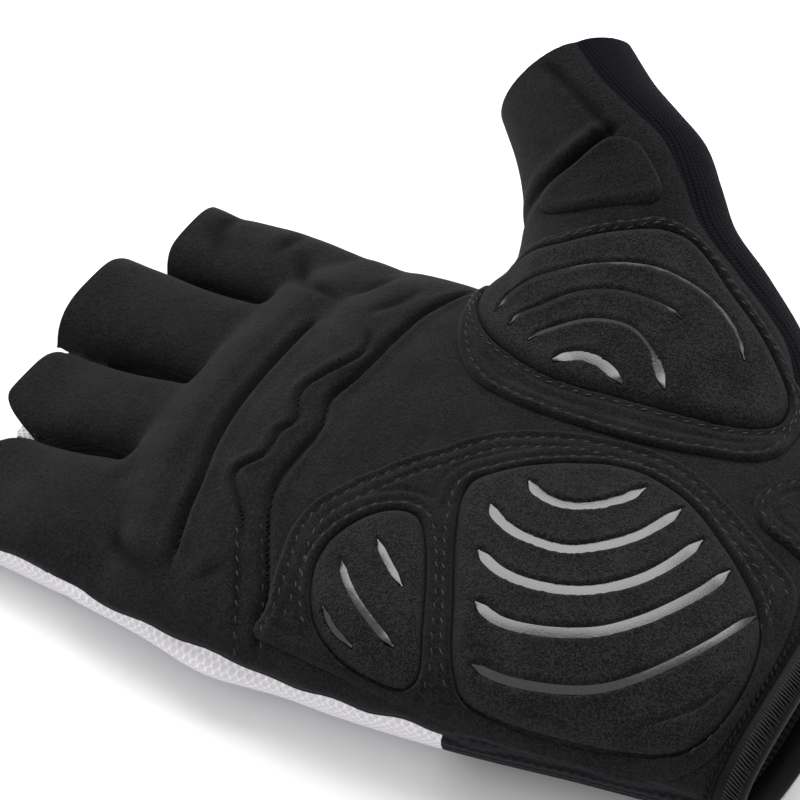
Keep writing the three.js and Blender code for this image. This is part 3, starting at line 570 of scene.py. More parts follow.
# %% Wales: the columns of loops in a knit
wales, wales_in, wales_out = node_group(
    "wales",
    [("Vector", "NodeSocketVector", None), ("Wave", "NodeSocketFloat", 0.25)],
    [("Height", "NodeSocketFloat")],
)
parts = wales.nodes.new("ShaderNodeSeparateXYZ")
wales.links.new(wales_in.outputs["Vector"], parts.inputs["Vector"])
TURN = 2 * math.pi
loop = math_node(wales, "SINE", math_node(wales, "MULTIPLY", parts.outputs["X"], TURN))
sway = math_node(wales, "MULTIPLY", loop, wales_in.outputs["Wave"])
column = math_node(wales, "MULTIPLY_ADD", parts.outputs["Y"], TURN, sway)
rows_high = math_node(wales, "MULTIPLY_ADD", math_node(wales, "SINE", column), 0.5, 0.5)
knots_high = math_node(wales, "MULTIPLY_ADD", loop, 0.15, 0.15)
wales.links.new(math_node(wales, "ADD", rows_high, knots_high), wales_out.inputs["Height"])
print("node groups:", [g.name for g in bpy.data.node_groups])

# %% A material from a cloth pattern
def new_material(name, roughness, specular, sheen=0.0):
    material = bpy.data.materials.new(name)
    material.use_nodes = True
    shader = feed(material.node_tree, material.node_tree.nodes["Principled BSDF"], {
        "Roughness": roughness, "Specular IOR Level": specular,
        "Sheen Weight": sheen, "Sheen Roughness": 0.5})
    return material, material.node_tree, shader


def place_vector(tree, source="Object", scale=(1000, 1000, 1000)):
    """Object or UV coordinates times a scale, which turns metres into millimetres."""
    place = tree.nodes.new("ShaderNodeTexCoord").outputs[source]
    return fed_node(tree, "ShaderNodeMapping", {"Scale": scale, "Vector": place}).outputs["Vector"]


def placed_group(tree, group, vector, **values):
    node = tree.nodes.new("ShaderNodeGroup")
    node.node_tree = group
    tree.links.new(vector, node.inputs["Vector"])
    return feed(tree, node, values)


def coloured(tree, shader, value, low, high, dark, light):
    """The base colour goes from dark to light as the value goes from low to high."""
    ramp_node = tree.nodes.new("ShaderNodeValToRGB")
    ramp_node.color_ramp.elements[0].position = low
    ramp_node.color_ramp.elements[1].position = high
    ramp_node.color_ramp.elements[0].color = (*dark, 1)
    ramp_node.color_ramp.elements[1].color = (*light, 1)
    tree.links.new(value, ramp_node.inputs["Fac"])
    tree.links.new(ramp_node.outputs["Color"], shader.inputs["Base Color"])


def bumped(tree, shader, height, distance):
    """A height in the shader's normal, with the distance in millimetres."""
    inputs = {"Distance": distance / 1000, "Strength": 1.0, "Height": height}
    bump = fed_node(tree, "ShaderNodeBump", inputs)
    tree.links.new(bump.outputs["Normal"], shader.inputs["Normal"])


def suede_material(name, dark, light, fibre, depth, spread):
    """Suede. Where the attribute called fold is 1, the colour is darker: painted shade in the creases."""
    material, tree, shader = new_material(name, 0.95, specular=0.12, sheen=0.05)
    fibres = placed_group(tree, nap, place_vector(tree), Fibre=fibre)
    folded = tree.nodes.new("ShaderNodeAttribute")
    folded.attribute_name = "fold"
    # painted shade: the colour darkens where the fold attribute is 1
    shade = math_node(tree, "MULTIPLY_ADD", folded.outputs["Fac"], -0.6, fibres.outputs["Shade"])
    coloured(tree, shader, shade, 0.75 - spread, 0.75 + spread, dark, light)
    bumped(tree, shader, fibres.outputs["Height"], depth)
    return material


def knit_material(name, group, scale, dark, light, depth, specular=0.2, **values):
    """Knit, by a pattern group that is laid on the cloth's own map, and a little fuzz."""
    material, tree, shader = new_material(name, 0.85, specular, sheen=0.01)
    pattern = placed_group(tree, group, place_vector(tree, "UV", scale), **values)
    fuzz = noise_node(tree, place_vector(tree), 2.5, 3.0, 0.6)
    height = math_node(tree, "MULTIPLY_ADD", fuzz, 0.35, pattern.outputs["Height"])
    coloured(tree, shader, height, 0.25, 1.15, dark, light)
    bumped(tree, shader, height, depth)
    return material


# %% The finishes of this glove
suede = suede_material("suede", (0.001, 0.001, 0.0011), (0.0118, 0.0118, 0.012), 2.6, 0.22, 0.12)
pad_suede = suede_material("pad suede", (0.0002, 0.0002, 0.0003), (0.0205, 0.0205, 0.0207), 2.9, 0.6, 0.075)
white_mesh = knit_material("white mesh", dimples, (0.64, 0.64, 1), (0.62, 0.605, 0.635),
                           (0.77, 0.75, 0.79), 0.24)
rib_knit = knit_material("black rib knit", wales, (0.55, 0.6, 1), (0.002, 0.002, 0.003),
                         (0.014, 0.014, 0.018), 0.4, specular=0.12, Wave=0.6)
navy_knit = knit_material("navy knit", wales, (1.3, 1.25, 1), (0.0012, 0.0012, 0.002),
                          (0.0055, 0.0055, 0.0085), 0.16, specular=0.05, Wave=0.9)
# The cloth in the slits is the navy knit, but this copy is about four times lighter: painted light in the
# shaded slits between the fingers.
lit_slit_knit = knit_material("lit slit knit", wales, (1.3, 1.25, 1), (0.004, 0.004, 0.006),
                          (0.024, 0.023, 0.030), 0.22, specular=0.1, Wave=0.9)


def yarn_material(name, roughness, specular, grain, dark, light, depth):
    """Thread or tape. The grain is its noise: scale, detail and roughness."""
    material, tree, shader = new_material(name, roughness, specular)
    twist = noise_node(tree, place_vector(tree), *grain)
    coloured(tree, shader, twist, 0.3, 0.7, dark, light)
    bumped(tree, shader, twist, depth)
    return material


def film_material(name, specular):
    """Glossy film: it picks up the softbox, and fine scratches break the light."""
    material, tree, shader = new_material(name, 0.3, specular)
    place = place_vector(tree)
    wear = noise_node(tree, place, 1.6, 4.0, 0.7)
    coloured(tree, shader, wear, 0.35, 0.7, (0.004, 0.004, 0.0042), (0.014, 0.014, 0.0145))
    rough = math_node(tree, "MULTIPLY_ADD", wear, 0.14, 0.17)
    tree.links.new(rough, shader.inputs["Roughness"])
    bumped(tree, shader, noise_node(tree, place, 3.5, 3.0, 0.6), 0.03)
    return material


thread = yarn_material("black thread", 0.45, 0.3, (4.0, 2.0, 0.5), (0.005, 0.005, 0.006),
                       (0.016, 0.016, 0.018), 0.05)
film = film_material("glossy film", 0.75)
# A copy of the film that reflects less, so that its strips look dark: painted shade.
dim_film_copy = film_material("dim film copy", 0.3)
tape = yarn_material("satin tape", 0.6, 0.12, (3.0, 3.0, 0.6), (0.001, 0.001, 0.0012),
                     (0.004, 0.004, 0.0045), 0.08)
finishes = (suede, pad_suede, white_mesh, rib_knit, navy_knit, lit_slit_knit, thread, film, dim_film_copy, tape)
print("finishes:", [material.name for material in finishes])

# %% [markdown]
# The thumb's skin meets the palm's at a shallow angle, and a union keeps a hard crease
# there. Points that are near both skins, and points near the finger roots, are moved
# towards their neighbours many times, as cloth pulls a web over such a corner.

# %% Webs between thumb, palm and fingers
def distances(tree, points):
    return np.array([tree.find_nearest(p)[3] for p in points.tolist()])


# How near a point is to be moved fully, and from where not at all, in millimetres.
WEB_REACH = (2.0, 9.0)
WEB_ROUNDS = 160
ROOT_REACH = (3.0, 7.0)
ROOT_ROUNDS = 20
REMESH_STEP_ROUNDS = 4  # takes the voxel steps out of the whole form
thumb_distance = distances(thumb_tree, form_points)
palm_distance = distances(palm_tree, form_points)
web_weight = 1 - ramp(np.maximum(thumb_distance, palm_distance), *WEB_REACH)
form_points = relaxed(form_points, form_faces, 0.6 * web_weight, WEB_ROUNDS)
root_weight = 1 - ramp(np.abs(form_points[:, 0] - ROOT_X - 1), *ROOT_REACH)
root_weight *= ramp(form_points[:, 2], 12, 14)
form_points = relaxed(form_points, form_faces, 0.5 * root_weight, ROOT_ROUNDS)
form_points = relaxed(form_points, form_faces, 0.5, REMESH_STEP_ROUNDS)
form_points[:, 2] = np.maximum(form_points[:, 2], 0)
print("the webs are relaxed over", int((web_weight > 0.5).sum()), "points")

# %% [markdown]
# ## Creases and folds of the palm
# The suede keeps the creases of a closed hand: two rolls over the knuckles with a deep
# valley between them, a stitched strip, and small folds under the index finger. A cloth
# simulation would put folds anywhere, so each fold is drawn as a line in plan, and the
# points near it move along their normals by a rounded profile.

# %% Distance to a line in plan
def near_line(points, line):
    """Signed distance to a line, length run along it, and its whole length."""
    line = np.asarray(line, dtype=float)
    starts, steps = line[:-1], np.diff(line, axis=0)
    lengths = lengths_of(steps)
    runs = runs_along(line)
    best = np.full(len(points), 1e9)
    side = np.ones(len(points))
    run = np.zeros(len(points))
    for k in range(len(starts)):
        off = points[:, :2] - starts[k]
        share = np.clip(off @ steps[k] / lengths[k] ** 2, 0, 1)
        gap = off - share[:, None] * steps[k]
        distance = lengths_of(gap)
        closer = distance < best
        turn = steps[k][0] * off[:, 1] - steps[k][1] * off[:, 0]
        best = np.where(closer, distance, best)
        side = np.where(closer, np.where(turn < 0, -1.0, 1.0), side)
        run = np.where(closer, runs[k] + share * lengths[k], run)
    return best * side, run, runs[-1]


def curve_at(runs, knots, at):
    """Points of the smooth curve through plan points, at some lengths run along it."""
    table = np.column_stack([runs, knots])
    return np.column_stack([smooth_at(table, 1, at), smooth_at(table, 2, at)])


def smooth_line(knots, step=1.5):
    """A smooth line through its knots, with points about a step apart."""
    knots = np.asarray(knots, dtype=float)
    runs = runs_along(knots)
    return curve_at(runs, knots, np.linspace(0, runs[-1], max(3, int(runs[-1] / step))))


# %% The creases, as lines in plan
# Each row: the line's knots, depth, width, and how high its left and right banks stand.
CREASES = {
    "valley between the rolls": (
        [(-26.8, 16), (-27.1, 2.6), (-27.2, -6.2), (-26.9, -15.3), (-25.4, -24.4),
         (-23, -32.4), (-21.6, -39.4), (-19.8, -45.5), (-17.9, -51)], 1.9, 0.8, 0.7, 0.6),
    "panel edge": (
        [(-4.2, 39), (-8.3, 23), (-9.1, 15.2), (-10.1, 1.4), (-11.3, -5.7), (-9.3, -13.1),
         (-9.2, -20.9), (-9.1, -28.3), (-7.8, -32.8), (-4.5, -39.2), (0.4, -47.9),
         (3.2, -55.4), (3.8, -58.5)], 1.8, 0.7, 0.5, 0.15),
    "crinkle of the rear roll": (
        [(-15.2, 15.2), (-12.1, 7.9), (-14.6, 0.7), (-16.9, -5.6), (-16.2, -9.3),
         (-13.7, -14.2), (-15, -17.6), (-14.4, -23.7), (-17.2, -29.1), (-12.6, -35.3),
         (-9.8, -38.5), (-7.5, -43.8)], 0.9, 0.6, 0.35, 0.3),
    "front stitch line": ([(-9.8, -40.5), (-7.6, -44.1), (-4, -50), (0.1, -57.8)], 0.5, 0.7, 0.15, 0.15),
    "rear stitch line": ([(-6.4, -38), (-3.4, -42.5), (0.5, -49), (4.4, -56)], 0.35, 0.7, 0.1, 0.1),
    "end of the front roll": (
        [(-33.5, -44.7), (-30, -48.3), (-25.5, -50.6), (-19.1, -52.4)], 0.9, 1.1, 0.6, 0.1),
    "end of the rear roll": ([(-14.5, -52), (-11, -50.2), (-7.5, -45.2)], 0.5, 1.0, 0.3, 0.1),
    "fold under the index finger": (
        [(-42, 35), (-38, 28.5), (-33.1, 23.6), (-25.1, 22.2)], 0.8, 1.4, 0.4, 0.2),
    "index joint fold": ([(-47.6, 29.5), (-46, 36), (-44.7, 42.5)], 0.5, 1.3, 0.3, 0.2),
    "index tip fold": ([(-56, 27), (-57.7, 28.3), (-61.6, 34.5), (-62, 42), (-62, 44)], 0.8, 1.8, 0.3, 0.3),
    "index web fold": ([(-20, 37.5), (-21.5, 31), (-24.9, 23)], 0.9, 1.5, 0.4, 0.3),
    "index web crease": ([(-12.6, 33), (-13.7, 24.7), (-18, 17)], 0.6, 1.2, 0.3, 0.2),
    "thumb joint fold": (
        [(14, 64.5), (11.1, 61.3), (8.3, 58.7), (4.8, 55.4), (2.6, 53.9)], 2.0, 0.9, 0.4, 0.7),
    "end of the thumb joint fold": (
        [(9.6, 60), (8.3, 58.7), (4.8, 55.4), (1.3, 53), (-3, 50)], 0.7, 1.2, 0.2, 0.5),
    "thumb dart": (
        [(-9.3, 74), (-3.3, 70.7), (1.2, 68.1), (5.9, 65.3), (10.8, 62.6), (17, 59)], 0.9, 0.7, 0.1, 0.2),
}


# A crease fades out over this length at its ends. Its banks lie this many widths away.
CREASE_FADE = 7
BANK_AWAY, BANK_WIDTH = 2.4, 1.5


def crease_places(points, knots):
    """Distance of points from a crease, and 1 along it with a fade to 0 at its ends."""
    distance, run, length = near_line(points, smooth_line(knots))
    return distance, ramp(run, 0, CREASE_FADE) * ramp(length - run, 0, CREASE_FADE)


def crease_height(points, knots, depth, width, left_bank, right_bank):
    """How far a crease moves points: down in its bed and up on its banks."""
    distance, ends = crease_places(points, knots)
    bed = -depth * bell(distance, width)
    left = left_bank * bell(distance - BANK_AWAY * width, BANK_WIDTH * width)
    right = right_bank * bell(distance + BANK_AWAY * width, BANK_WIDTH * width)
    return (bed + left + right) * ends


# %% Creases pressed into the form
def seam_height(x):
    """Height of the side seam over the floor."""
    at = np.clip((x - ROOT_X) / PALM_LENGTH, 0, 1)
    return np.where(x < ROOT_X, finger_seam(x), smooth_at(PALM, SEAM, at) * SEAM_HEIGHT)


def on_top(points):
    """1 above the side seam and 0 below it."""
    return ramp(points[:, 2] - seam_height(points[:, 0]), -0.5, 2.0)


moved = sum(crease_height(form_points, *row) for row in CREASES.values())
moved_up = (moved * on_top(form_points))[:, None]
form_points = form_points + moved_up * point_normals(form_points, form_faces)
print("pressed in", len(CREASES), "creases, deepest", round(float(-moved.min()), 2), "mm")

# %% [markdown]
# ## Panels
# The real panels are cut flat and sewn edge to edge. Here one form is already in its
# worn shape, so it is cut along the seams instead: each field below is zero on a seam,
# and the faces on its two sides become two panels with a hair of room between them.

# %% The fields that are zero on a seam
SEAM_ROOM = 0.02
FOURCHETTE_REACH = 3.1
FOURCHETTE_LOW = 4.0
FOURCHETTE_HIGH = 12.2
FOURCHETTE_BACK = ROOT_X + 2.6
SEAM_WANDER = 0.7
SEAM_BEGINS = 6  # the thumb's seam rises from this far outside the thumb
CUFF_BOW = 4.3
CUFF_HALF_WIDTH = 47
THUMB_BULGE = 2.0
SIDE_SWELL = 2.2


def ripple(points, scale, seed):
    """A gentle value between -1 and 1 that wanders over the plan, from a fixed seed."""
    waves = np.random.default_rng(seed)
    total = np.zeros(len(points))
    for _ in range(7):
        turn, phase = waves.uniform(0, 2 * math.pi, 2)
        pace = waves.uniform(0.6, 1.5) * 2 * math.pi / scale
        total += np.sin(pace * (points[:, 0] * math.cos(turn) + points[:, 1] * math.sin(turn)) + phase)
    return total / 3.5


def cuff_bow(points):
    """How far the wrist edge bows out past its ends."""
    return CUFF_BOW * np.clip(1 - (points[:, 1] / CUFF_HALF_WIDTH) ** 2, 0, 1)


def thumb_front(points):
    """Above zero on the palm's side of the thumb's seam."""
    along, across, height, half, thick = thumb_places(points)
    outer_at, outer = 0.77 * half, 0.7 * thick
    share = (across + half + SEAM_BEGINS) / (outer_at + half + SEAM_BEGINS)
    line = np.where(share < 1, -0.1 * thick + share * (outer + 0.1 * thick),
                    outer + 0.3 * (across - outer_at))
    return height - line


def on_thumb(points):
    """0 on the hand's own skin and 1 on the thumb's, away from the hand."""
    share = np.zeros(len(points))
    near = (thumb_places(points)[0] > 0) & (points[:, 0] > ROOT_X + 5) & (points[:, 1] > 10)
    share[near] = ramp(distances(palm_tree, points[near]), 0.5, 4.0)
    return share


def palm_field(points):
    """Above zero on the suede: over the hand's side seam, and before the thumb's own seam."""
    share = on_thumb(points)
    hand = points[:, 2] - seam_height(points[:, 0]) - SEAM_WANDER * ripple(points, 16, 21)
    return (1 - share) * hand + share * thumb_front(points)


def slit_field(i):
    """Above zero on the side walls between two fingers: near their line, between two heights."""
    def field(points):
        off = np.abs(points[:, 1] - finger_line(i, points[:, 0]))
        tip = ramp(points[:, 0], ROOT_X - 12, ROOT_X - 26)
        reach = FOURCHETTE_REACH + 4.0 * tip - off
        top = FOURCHETTE_HIGH - 3.2 * ramp(points[:, 0], ROOT_X - 5, ROOT_X - 30)
        walls = np.minimum(points[:, 2] - FOURCHETTE_LOW + 3.2 * tip, top - points[:, 2])
        return np.minimum(np.minimum(reach, walls), FOURCHETTE_BACK - points[:, 0])
    return field


# How far each fingertip's corner is rounded back, on its thumb side and its other side.
TIP_CORNERS = [(0.5, 2.0), (3.0, 0.5), (2.0, 9.0), (7.5, 2.0)]


def opening_field(points):
    """Above zero on the cloth that is kept. Fingertips have round corners, and the ring finger's
    is the largest. The thumb's end bulges out."""
    lean = CUFF_LEAN * (1 - points[:, 2] / PALM_THICKNESS)
    kept = PANEL_END_X + lean + cuff_bow(points) - points[:, 0]
    for i in range(4):
        between = np.minimum(finger_line(i, points[:, 0]) + 5 * (i == 0) - points[:, 1],
                             points[:, 1] - finger_line(i + 1, points[:, 0]) + 5 * (i == 3))
        half = (finger_line(i, points[:, 0]) - finger_line(i + 1, points[:, 0])) / 2
        near = 1 - between / half
        thumb_side_corner = points[:, 1] > finger_line(i, points[:, 0]) - half
        corner = np.where(thumb_side_corner, *TIP_CORNERS[i]) * np.clip((near - 0.35) / 0.65, 0, 1) ** 2.5
        ahead = points[:, 0] - finger_tip(i) - corner
        kept = np.where((between > 0) & (points[:, 0] < ROOT_X), np.minimum(kept, ahead), kept)
    along, across, _, half, _ = thumb_places(points)
    past = (1 - along) * THUMB_LENGTH + THUMB_BULGE * np.clip(1 - (across / half) ** 2, 0, 1)
    return np.where(points[:, 0] > ROOT_X, np.minimum(kept, past), kept)


def side_swell(points):
    """How far the mesh swells out below the side pad."""
    side = palm_edge(ULNAR, points[:, 0])
    near = bell(points[:, 0] + 6, 11) * (1 - ramp(points[:, 1] - side, 0, 14))
    return SIDE_SWELL * near * ramp(seam_height(points[:, 0]) - points[:, 2], 0.5, 2.5)


# %% Cutting the form
SEAM_TUCK = 0.55
SEAM_TUCK_WIDTH = 1.1
tuck = SEAM_TUCK * bell(palm_field(form_points), SEAM_TUCK_WIDTH)
form_points = form_points - tuck[:, None] * point_normals(form_points, form_faces)
form_points[:, 1] -= side_swell(form_points)
form_points[:, 2] = np.maximum(form_points[:, 2], 0)
cloth = kept_where(form_points, form_faces, opening_field)
print("cut the openings:", len(cloth[1]), "faces left")
fourchettes = []
for i in (1, 2, 3):
    fourchettes.append(kept_where(*cloth, slit_field(i), SEAM_ROOM))
    cloth = kept_where(*cloth, lambda p, i=i: -slit_field(i)(p), SEAM_ROOM)
palm_skin_mesh = kept_where(*cloth, palm_field, SEAM_ROOM)
behind = kept_where(*cloth, lambda p: -palm_field(p), SEAM_ROOM)
thumb_back = kept_where(*behind, lambda p: (on_thumb(p) - 0.5) * 4, SEAM_ROOM)
hand_back = kept_where(*behind, lambda p: (0.5 - on_thumb(p)) * 4, SEAM_ROOM)
RIB_START = CUFF_X - RIB_PANEL_LENGTH
mesh_back = kept_where(*hand_back, lambda p: RIB_START - p[:, 0], SEAM_ROOM)
rib_back = kept_where(*hand_back, lambda p: p[:, 0] - RIB_START, SEAM_ROOM)
for name, part in [("palm", palm_skin_mesh), ("mesh back", mesh_back), ("rib back", rib_back),
                   ("thumb back", thumb_back)]:
    print(name, "has", len(part[1]), "faces")

# %% Where a pattern lies on the cloth
THUMB_RADIUS = 18


def hand_cloth(points):
    """Millimetres along the hand, and round it from the side seam."""
    from_ulnar = points[:, 1] + side_swell(points) - palm_edge(ULNAR, points[:, 0])
    across = np.minimum(from_ulnar, palm_edge(RADIAL, points[:, 0]) - points[:, 1])
    return np.column_stack([points[:, 0], across - points[:, 2]])


def thumb_cloth(points):
    """Millimetres along the thumb, and round it."""
    along, across, height, _, _ = thumb_places(points)
    return np.column_stack([along * THUMB_LENGTH, np.arctan2(height, across) * THUMB_RADIUS])


def plan_points(made):
    """The points of an object, back in plan millimetres."""
    return points_of(made.data) * 1000 - PLAN_SHIFT


def add_pattern(made, places):
    """A UV map, in millimetres on the cloth, from a function of plan points."""
    mesh = made.data
    spots = places(plan_points(made))
    corners = np.empty(len(mesh.loops), dtype=np.int32)
    mesh.loops.foreach_get("vertex_index", corners)
    layer = mesh.uv_layers.new(name="cloth")
    layer.data.foreach_set("uv", spots[corners].ravel())


# %% Painted shade in the beds of the creases
def painted_crease_shade(points):
    """Painted shade: 1 in the bed of a crease of the palm and 0 away from it."""
    shade = np.zeros(len(points))
    for knots, depth, width, *_ in CREASES.values():
        distance, ends = crease_places(points, knots)
        shade = np.maximum(shade, min(1, depth / 1.6) * ends * bell(distance, 0.9 * width))
    return shade * on_top(points)


# %% Cloth with a wall
# The inner side hardly shows, so it keeps a quarter of its faces: 5 in 8 of them all.
FACES_KEPT = 0.625
SHARP_FROM = 50


def skin_area(points, faces):
    across = np.cross(points[faces[:, 1]] - points[faces[:, 0]], points[faces[:, 2]] - points[faces[:, 0]])
    return float(lengths_of(across).sum() / 2)


def cloth_piece(name, part, thickness, material, places=hand_cloth):
    """An object in the part's frame from a skin, with a wall on its inner side."""
    made = plan_object(name, *part, material)
    inner = made.vertex_groups.new(name="inner")
    wall = made.modifiers.new("wall", "SOLIDIFY")
    wall.thickness = thickness / 1000
    wall.offset = -1
    wall.shell_vertex_group = "inner"
    thin = made.modifiers.new("fewer faces inside", "DECIMATE")
    thin.ratio = FACES_KEPT
    thin.vertex_group = "inner"
    applied(made)
    made.vertex_groups.clear()
    add_pattern(made, places)
    shaded(made, SHARP_FROM)
    # Suede carries the painted shade of the creases as its fold attribute.
    if material is suede:
        shade = painted_crease_shade(plan_points(made))
        made.data.attributes.new("fold", "FLOAT", "POINT").data.foreach_set("value", shade)
    print(name, "has", len(made.data.polygons), "faces and covers", round(skin_area(*part) / 100, 1), "cm2")
    return made


PANEL_WALL = 1.4
FOURCHETTE_WALL = 1.2
panels = {
    "palm_panel": cloth_piece("palm_cloth", palm_skin_mesh, PANEL_WALL, suede),
    "back_panel": cloth_piece("back_cloth", mesh_back, PANEL_WALL, white_mesh),
    "cuff_back_panel": cloth_piece("cuff_back_cloth", rib_back, PANEL_WALL, rib_knit),
    "thumb_back_panel": cloth_piece("thumb_back_cloth", thumb_back, PANEL_WALL, navy_knit, thumb_cloth),
}
for i, part in enumerate(fourchettes):
    name = f"fourchette_cloth_{i + 1}"
    panels[f"fourchette_{i + 1}"] = cloth_piece(name, part, FOURCHETTE_WALL, lit_slit_knit)
# Each panel's slot, and what it was cut to: its width and length in metres, and its flat area.
CUTS = {
    "palm_panel": ("suede", (0.150, 0.165), 0.0190),
    "back_panel": ("mesh_cloth", (0.125, 0.125), 0.0118),
    "cuff_back_panel": ("rib_knit", (0.050, 0.125), 0.0049),
    "thumb_back_panel": ("navy_knit", (0.060, 0.085), 0.0041),
    "fourchette_1": ("navy_knit", (0.014, 0.045), 0.00047),
    "fourchette_2": ("navy_knit", (0.014, 0.045), 0.00049),
    "fourchette_3": ("navy_knit", (0.014, 0.038), 0.00039),
}
for node, piece in panels.items():
    dress(piece, node)
bpy.data.objects.remove(form)

# %% [markdown]
# ## Overlays and pads
# Suede overlays are sewn on the palm round three stuffed pads. Each is drawn as an
# outline in plan, filled with a fine grid, dropped on the palm's skin by a ray from
# above, and raised by a profile that depends on the distance from its edge. A profile
# gives full control of the rolled edge, the sewn channel and the grooves.

# %% Outlines in plan, as shares of palm length and width
OUTLINES = {
    "heel_pad": [
        (0.504, -0.156), (0.530, -0.107), (0.595, -0.047), (0.687, -0.004), (0.774, -0.02),
        (0.85, -0.074), (0.918, -0.14), (0.946, -0.19), (0.958, -0.256), (0.955, -0.33),
        (0.94, -0.386), (0.912, -0.42), (0.85, -0.449), (0.77, -0.473), (0.697, -0.489),
        (0.643, -0.489), (0.612, -0.452), (0.577, -0.37), (0.527, -0.249),
    ],
    "side_pad": [
        (0.379, -0.394), (0.381, -0.345), (0.402, -0.29), (0.432, -0.256), (0.466, -0.25),
        (0.489, -0.277), (0.522, -0.345), (0.555, -0.43), (0.577, -0.492), (0.566, -0.511),
        (0.52, -0.518), (0.468, -0.512), (0.424, -0.487), (0.396, -0.447),
    ],
    "thumb_pad": [
        (0.322, 0.351), (0.334, 0.276), (0.368, 0.219), (0.414, 0.181), (0.484, 0.151),
        (0.547, 0.144), (0.620, 0.151), (0.691, 0.160), (0.759, 0.176), (0.804, 0.201),
        (0.830, 0.241), (0.826, 0.296), (0.781, 0.344), (0.737, 0.379), (0.690, 0.411),
        (0.644, 0.446), (0.604, 0.463), (0.564, 0.459), (0.533, 0.443), (0.488, 0.418),
        (0.424, 0.384), (0.364, 0.374),
    ],
    "heel_overlay": [
        (0.343, -0.523), (0.340, -0.476), (0.326, -0.406), (0.317, -0.358), (0.318, -0.311),
        (0.335, -0.258), (0.359, -0.211), (0.395, -0.148), (0.435, -0.091), (0.477, -0.031),
        (0.525, 0.007), (0.580, 0.035), (0.645, 0.053), (0.705, 0.061), (0.750, 0.055),
        (0.795, 0.035), (0.845, 0.003), (0.905, -0.037), (0.962, -0.079), (0.979, -0.17),
        (0.979, -0.261), (0.969, -0.35), (0.955, -0.405), (0.92, -0.442), (0.86, -0.466),
        (0.77, -0.490), (0.69, -0.507), (0.605, -0.524), (0.505, -0.532), (0.405, -0.531),
    ],
    "thumb_overlay": [
        (0.340, 0.179), (0.377, 0.117), (0.415, 0.082), (0.465, 0.067), (0.525, 0.060),
        (0.605, 0.062), (0.665, 0.069), (0.720, 0.081), (0.770, 0.099), (0.825, 0.127),
        (0.853, 0.169), (0.861, 0.239), (0.855, 0.309), (0.810, 0.356), (0.755, 0.394),
        (0.705, 0.431), (0.655, 0.469), (0.605, 0.487), (0.555, 0.483), (0.505, 0.451),
        (0.425, 0.414), (0.355, 0.399), (0.305, 0.374), (0.315, 0.259),
    ],
    "thumb_patch": [
        (0.416, 0.577), (0.462, 0.585), (0.499, 0.561), (0.531, 0.526), (0.526, 0.499),
        (0.474, 0.473), (0.409, 0.453), (0.369, 0.459), (0.349, 0.481), (0.346, 0.506),
        (0.382, 0.536),
    ],
    "wrist_tab": [
        (0.859, 0.079), (0.857, 0.051), (0.865, 0.024), (0.887, 0.002), (0.925, -0.011),
        (0.953, -0.017), (0.953, 0.144), (0.935, 0.152), (0.900, 0.144), (0.873, 0.115),
    ],
}


def on_plan(shares):
    """Plan points in millimetres from shares of the palm's length and width."""
    shares = np.asarray(shares, dtype=float)
    return np.column_stack([ROOT_X + shares[:, 0] * PALM_LENGTH, shares[:, 1] * PALM_WIDTH])


def closed_line(shares, step=0.8):
    """A smooth closed outline through its knots, with points about a step apart."""
    knots = on_plan(shares)
    wrapped = np.vstack([knots[-3:], knots, knots[:3]])
    runs = runs_along(wrapped)
    count = int((runs[-3] - runs[3]) / step)
    return curve_at(runs, wrapped, np.linspace(runs[3], runs[-3], count, endpoint=False))


def closed_up(line):
    """A line whose first point is its last one too."""
    return np.vstack([line, line[:1]])


def depth_inside(points, outline):
    """Distance from an outline: above zero inside it, below zero outside."""
    closed = closed_up(outline)
    distance = np.abs(near_line(points, closed)[0])
    crossings = np.zeros(len(points), dtype=int)
    x, y = points[:, 0], points[:, 1]
    for (ax, ay), (bx, by) in zip(closed[:-1], closed[1:]):
        between = (ay > y) != (by > y)
        reach = ax + (y - ay) * (bx - ax) / (by - ay if by != ay else TINY)
        crossings += between & (x < reach)
    return np.where(crossings % 2 == 1, distance, -distance)


# %% Grids laid on the skin
def plan_grid(low, high, step):
    """A flat grid of triangles over a rectangle in plan."""
    xs = np.arange(low[0] - step, high[0] + 2 * step, step)
    ys = np.arange(low[1] - step, high[1] + 2 * step, step)
    grid_x, grid_y = np.meshgrid(xs, ys, indexing="ij")
    points = np.column_stack([grid_x.ravel(), grid_y.ravel(), np.zeros(grid_x.size)])
    start = (np.arange(len(xs) - 1)[:, None] * len(ys) + np.arange(len(ys) - 1)).ravel()
    first = np.column_stack([start, start + len(ys), start + len(ys) + 1])
    second = np.column_stack([start, start + len(ys) + 1, start + 1])
    return points, np.vstack([first, second])


RAY_START = 90


def skin_tree(points, faces):
    """A surface that pieces are laid on."""
    return BVHTree.FromPolygons(points.tolist(), faces.tolist())


def ray_heights(tree, points, missed):
    """The surface's height at plan points, by a ray from above."""
    hits = [tree.ray_cast((x, y, RAY_START), (0, 0, -1))[0] for x, y in points[:, :2].tolist()]
    return np.array([missed if hit is None else hit.z for hit in hits])


def height_on(tree, points):
    """The surface's height at plan points, and its lowest one where it has none."""
    found = ray_heights(tree, points, np.nan)
    return np.where(np.isnan(found), np.nanmin(found), found)


skin = skin_tree(*palm_skin_mesh)


def border_edges(faces):
    """Edges with a face on one side only, in the direction of that face."""
    pairs = sides_of(faces)
    _, order, count = np.unique(np.sort(pairs, axis=1), axis=0, return_inverse=True, return_counts=True)
    return pairs[count[order.ravel()] == 1]


def closed_over(points, faces, base_height):
    """A closed mesh: the top, a base under it and a wall round the edge."""
    count = len(points)
    base = np.column_stack([points[:, :2], base_height])
    edge = border_edges(faces)
    a, b = edge[:, 0], edge[:, 1]
    walls = np.vstack([np.column_stack([b, a, a + count]), np.column_stack([b, a + count, b + count])])
    return np.vstack([points, base]), np.vstack([faces, faces[:, ::-1] + count, walls])


# A window is cut this much wider than its pad, and a piece keeps this gap and this wall.
WINDOW_ROOM = 0.35
LAID_ROOM = 0.15
THINNEST = 0.12
RIM_SHARP_FROM = 60


